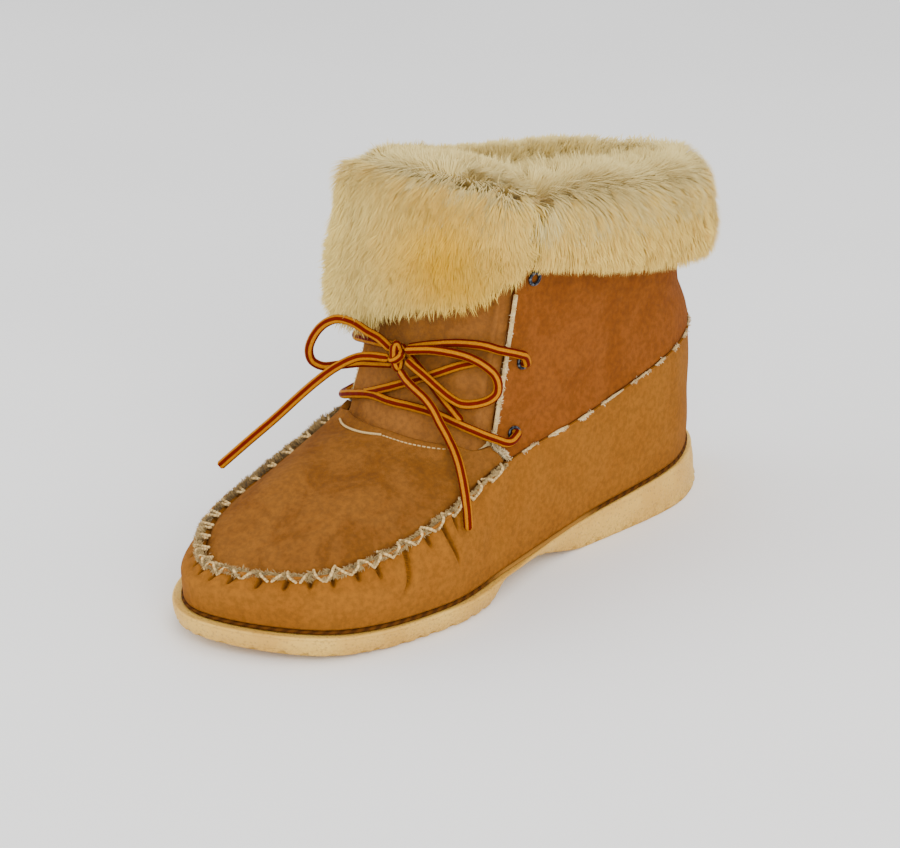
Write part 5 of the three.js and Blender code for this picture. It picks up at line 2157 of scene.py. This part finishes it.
    def throat(self, finishes: Finishes) -> None:
        """Builds the cord and the stitches where the tongue is sewn to the apron.

        Args:
            finishes: The boot's finishes.
        """
        threads = TubeSet(sides=8)
        u = np.linspace(0.675, 0.51, 40)
        threads.add(to_frame(LAST.place(u, np.interp(u, [0.51, 0.675], [3.93, 3.76]), 0.25)), 0.5 * MM)
        for turn in np.arange(0.29, 0.50, 0.011):
            u = np.linspace(turn, turn + 0.006, 5)
            threads.add(to_frame(LAST.place(u, np.full_like(u, 3.93), -0.15)), 0.32 * MM)
        finish_piece(threads.mesh("throat_stitches"), finishes.thread, "suede")


@dataclass
class Lining:
    """The sheepskin lining inside and the insole."""

    steps: int = 240
    wool: float = 2.6
    front_thinner: float = 20 / 27      # share of the wool's thickness that is missing in front
    tongue_room: float = 2.8            # how far it stands further in behind the tongue
    insole_thick: float = 3.0
    margin: float = 2.0                 # thickness of the lower's margin under the insole

    def build(self, finishes: Finishes) -> None:
        """Builds and dresses both.

        Args:
            finishes: The boot's finishes.
        """
        self.lining(finishes)
        self.insole(finishes)

    def lining(self, finishes: Finishes) -> None:
        """Builds and dresses the lining.

        Args:
            finishes: The boot's finishes.
        """
        def section(u: Array) -> list[tuple]:
            """Wool face and its back against the leather.

            Args:
                u: Turns.

            Returns:
                The section's corners.
            """
            rows = np.linspace(0.35, 5.3, 20)
            back = np.full_like(u, -WALL - GAP)
            deep = back - self.wool * (1 - front(u) * self.front_thinner)
            ahead = self.tongue_room * front(u)
            out = [(v, back - smooth(3.9, 4.3, v) * ahead, 0) for v in rows]
            return out + [(v, deep - smooth(3.9, 4.3, v) * ahead, 0) for v in rows[::-1]]

        piece = swept("lining_fleece", np.arange(self.steps) / self.steps, section, True)
        finish_piece(piece, finishes.lining, "insole_fleece")

    def insole(self, finishes: Finishes) -> None:
        """Builds and dresses the insole.

        Args:
            finishes: The boot's finishes.
        """
        sole = Sole(steps=self.steps)
        foot = sole.ring(FORM[0])
        under = STRIP + 3 * GAP + self.margin
        over = under + self.insole_thick
        low = sole.toward(foot, 0.98, sole_top)
        low[:, 2] += under
        edge = ((6.0, under), (4.4, under + 0.3), (4.3, over - 0.8), (5.2, over))
        rows = [low] + [sole.cap(foot, inset, sole_top, lift) for inset, lift in edge]
        for share in np.linspace(0.2, 0.98, 8):
            inner = sole.toward(foot, share, sole_top)
            inner[:, 2] += over + 0.6
            rows.append(inner)
        faces = grid_faces(len(rows), self.steps, False, True)[:, ::-1]
        piece = mesh_from("insole_sheepskin", to_frame(np.vstack(rows)), faces)
        close_ends(piece)
        finish_piece(piece, finishes.lining, "insole_fleece", "insole")


@dataclass(frozen=True)
class Lamp:
    """A soft square light: its place and side in metres, its power in watts, its colour."""

    name: str
    at: tuple[float, float, float]
    size: float
    power: float
    colour: Colour


@dataclass(frozen=True)
class Studio:
    """Floor, lights and camera."""

    target: tuple[float, float, float] = (-0.00809, 0.001, 0.05515)
    azimuth: float = 45.04
    elevation: float = 23.19
    distance: float = 1.1406
    lens: float = 107.44
    floor_size: float = 8.0
    surrounding: float = 1.15
    lamps: tuple[Lamp, ...] = (
        Lamp("key", (0.95, -0.55, 0.75), 0.8, 12.0, (1.0, 0.98, 0.95)),
        Lamp("fill", (-0.8, -0.75, 0.5), 0.9, 5.0, (0.98, 0.99, 1.0)),
        Lamp("top", (0.1, 0.25, 1.2), 1.1, 4.0, (1.0, 1.0, 1.0)))

    def build(self) -> None:
        """Sets the whole studio."""
        self.floor()
        self.world()
        for lamp in self.lamps:
            self.light(lamp)
        self.camera()

    def floor(self) -> None:
        """Adds the plain pale floor."""
        bpy.ops.mesh.primitive_plane_add(size=self.floor_size, location=(0, 0, 0))
        floor = bpy.context.active_object
        floor.name = "floor"
        material, graph = Graph.of_material("pale floor")
        coords = graph.add("TexCoord").outputs["Object"]
        drift = graph.ramp(graph.noise(coords, 3.0, 2.0), 0.3, 0.7)
        base = graph.blend(drift, linear(250, 250, 250), linear(246, 246, 246))
        graph.surface({"Base Color": base, "Roughness": 0.9, "Specular IOR Level": 0.1})
        floor.data.materials.append(material)

    def world(self) -> None:
        """Sets a near-white surrounding."""
        world = bpy.data.worlds.new("studio")
        world.use_nodes = True
        back = world.node_tree.nodes["Background"]
        back.inputs["Color"].default_value = (1.0, 1.0, 1.0, 1.0)
        back.inputs["Strength"].default_value = self.surrounding
        bpy.context.scene.world = world

    def light(self, lamp: Lamp) -> None:
        """Adds a light aimed at the boot.

        Args:
            lamp: The light.
        """
        data = bpy.data.lights.new(lamp.name, "AREA")
        data.size = lamp.size
        data.energy = lamp.power
        data.color = lamp.colour
        light = bpy.data.objects.new(lamp.name, data)
        light.location = lamp.at
        light.rotation_euler = (Vector(self.target) - Vector(lamp.at)).to_track_quat("-Z", "Y").to_euler()
        bpy.context.scene.collection.objects.link(light)

    def camera(self) -> None:
        """Sets the camera where the photograph was taken from."""
        az, el = math.radians(self.azimuth), math.radians(self.elevation)
        back = Vector((math.sin(az) * math.cos(el), -math.cos(az) * math.cos(el), math.sin(el)))
        data = bpy.data.cameras.new("camera")
        data.lens = self.lens
        camera = bpy.data.objects.new("camera", data)
        camera.location = Vector(self.target) + back * self.distance
        camera.rotation_euler = back.to_track_quat("Z", "Y").to_euler()
        bpy.context.scene.collection.objects.link(camera)
        bpy.context.scene.camera = camera


class Boot:
    """The whole boot."""

    def __init__(self) -> None:
        """Starts with its finishes."""
        self.finishes = Finishes()

    def build(self) -> None:
        """Builds every sub-assembly."""
        for part in (Laces(), Sole(), Upper(), Eyelets(), Stitching(), Fleece(), Lining()):
            part.build(self.finishes)


def main() -> None:
    """Loads the frame, builds the boot and its studio."""
    logging.basicConfig(level=logging.INFO, format="%(name)s: %(message)s")
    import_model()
    bpy.ops.object.select_all(action="DESELECT")
    Studio().build()
    Boot().build()


if __name__ == "__main__":
    main()
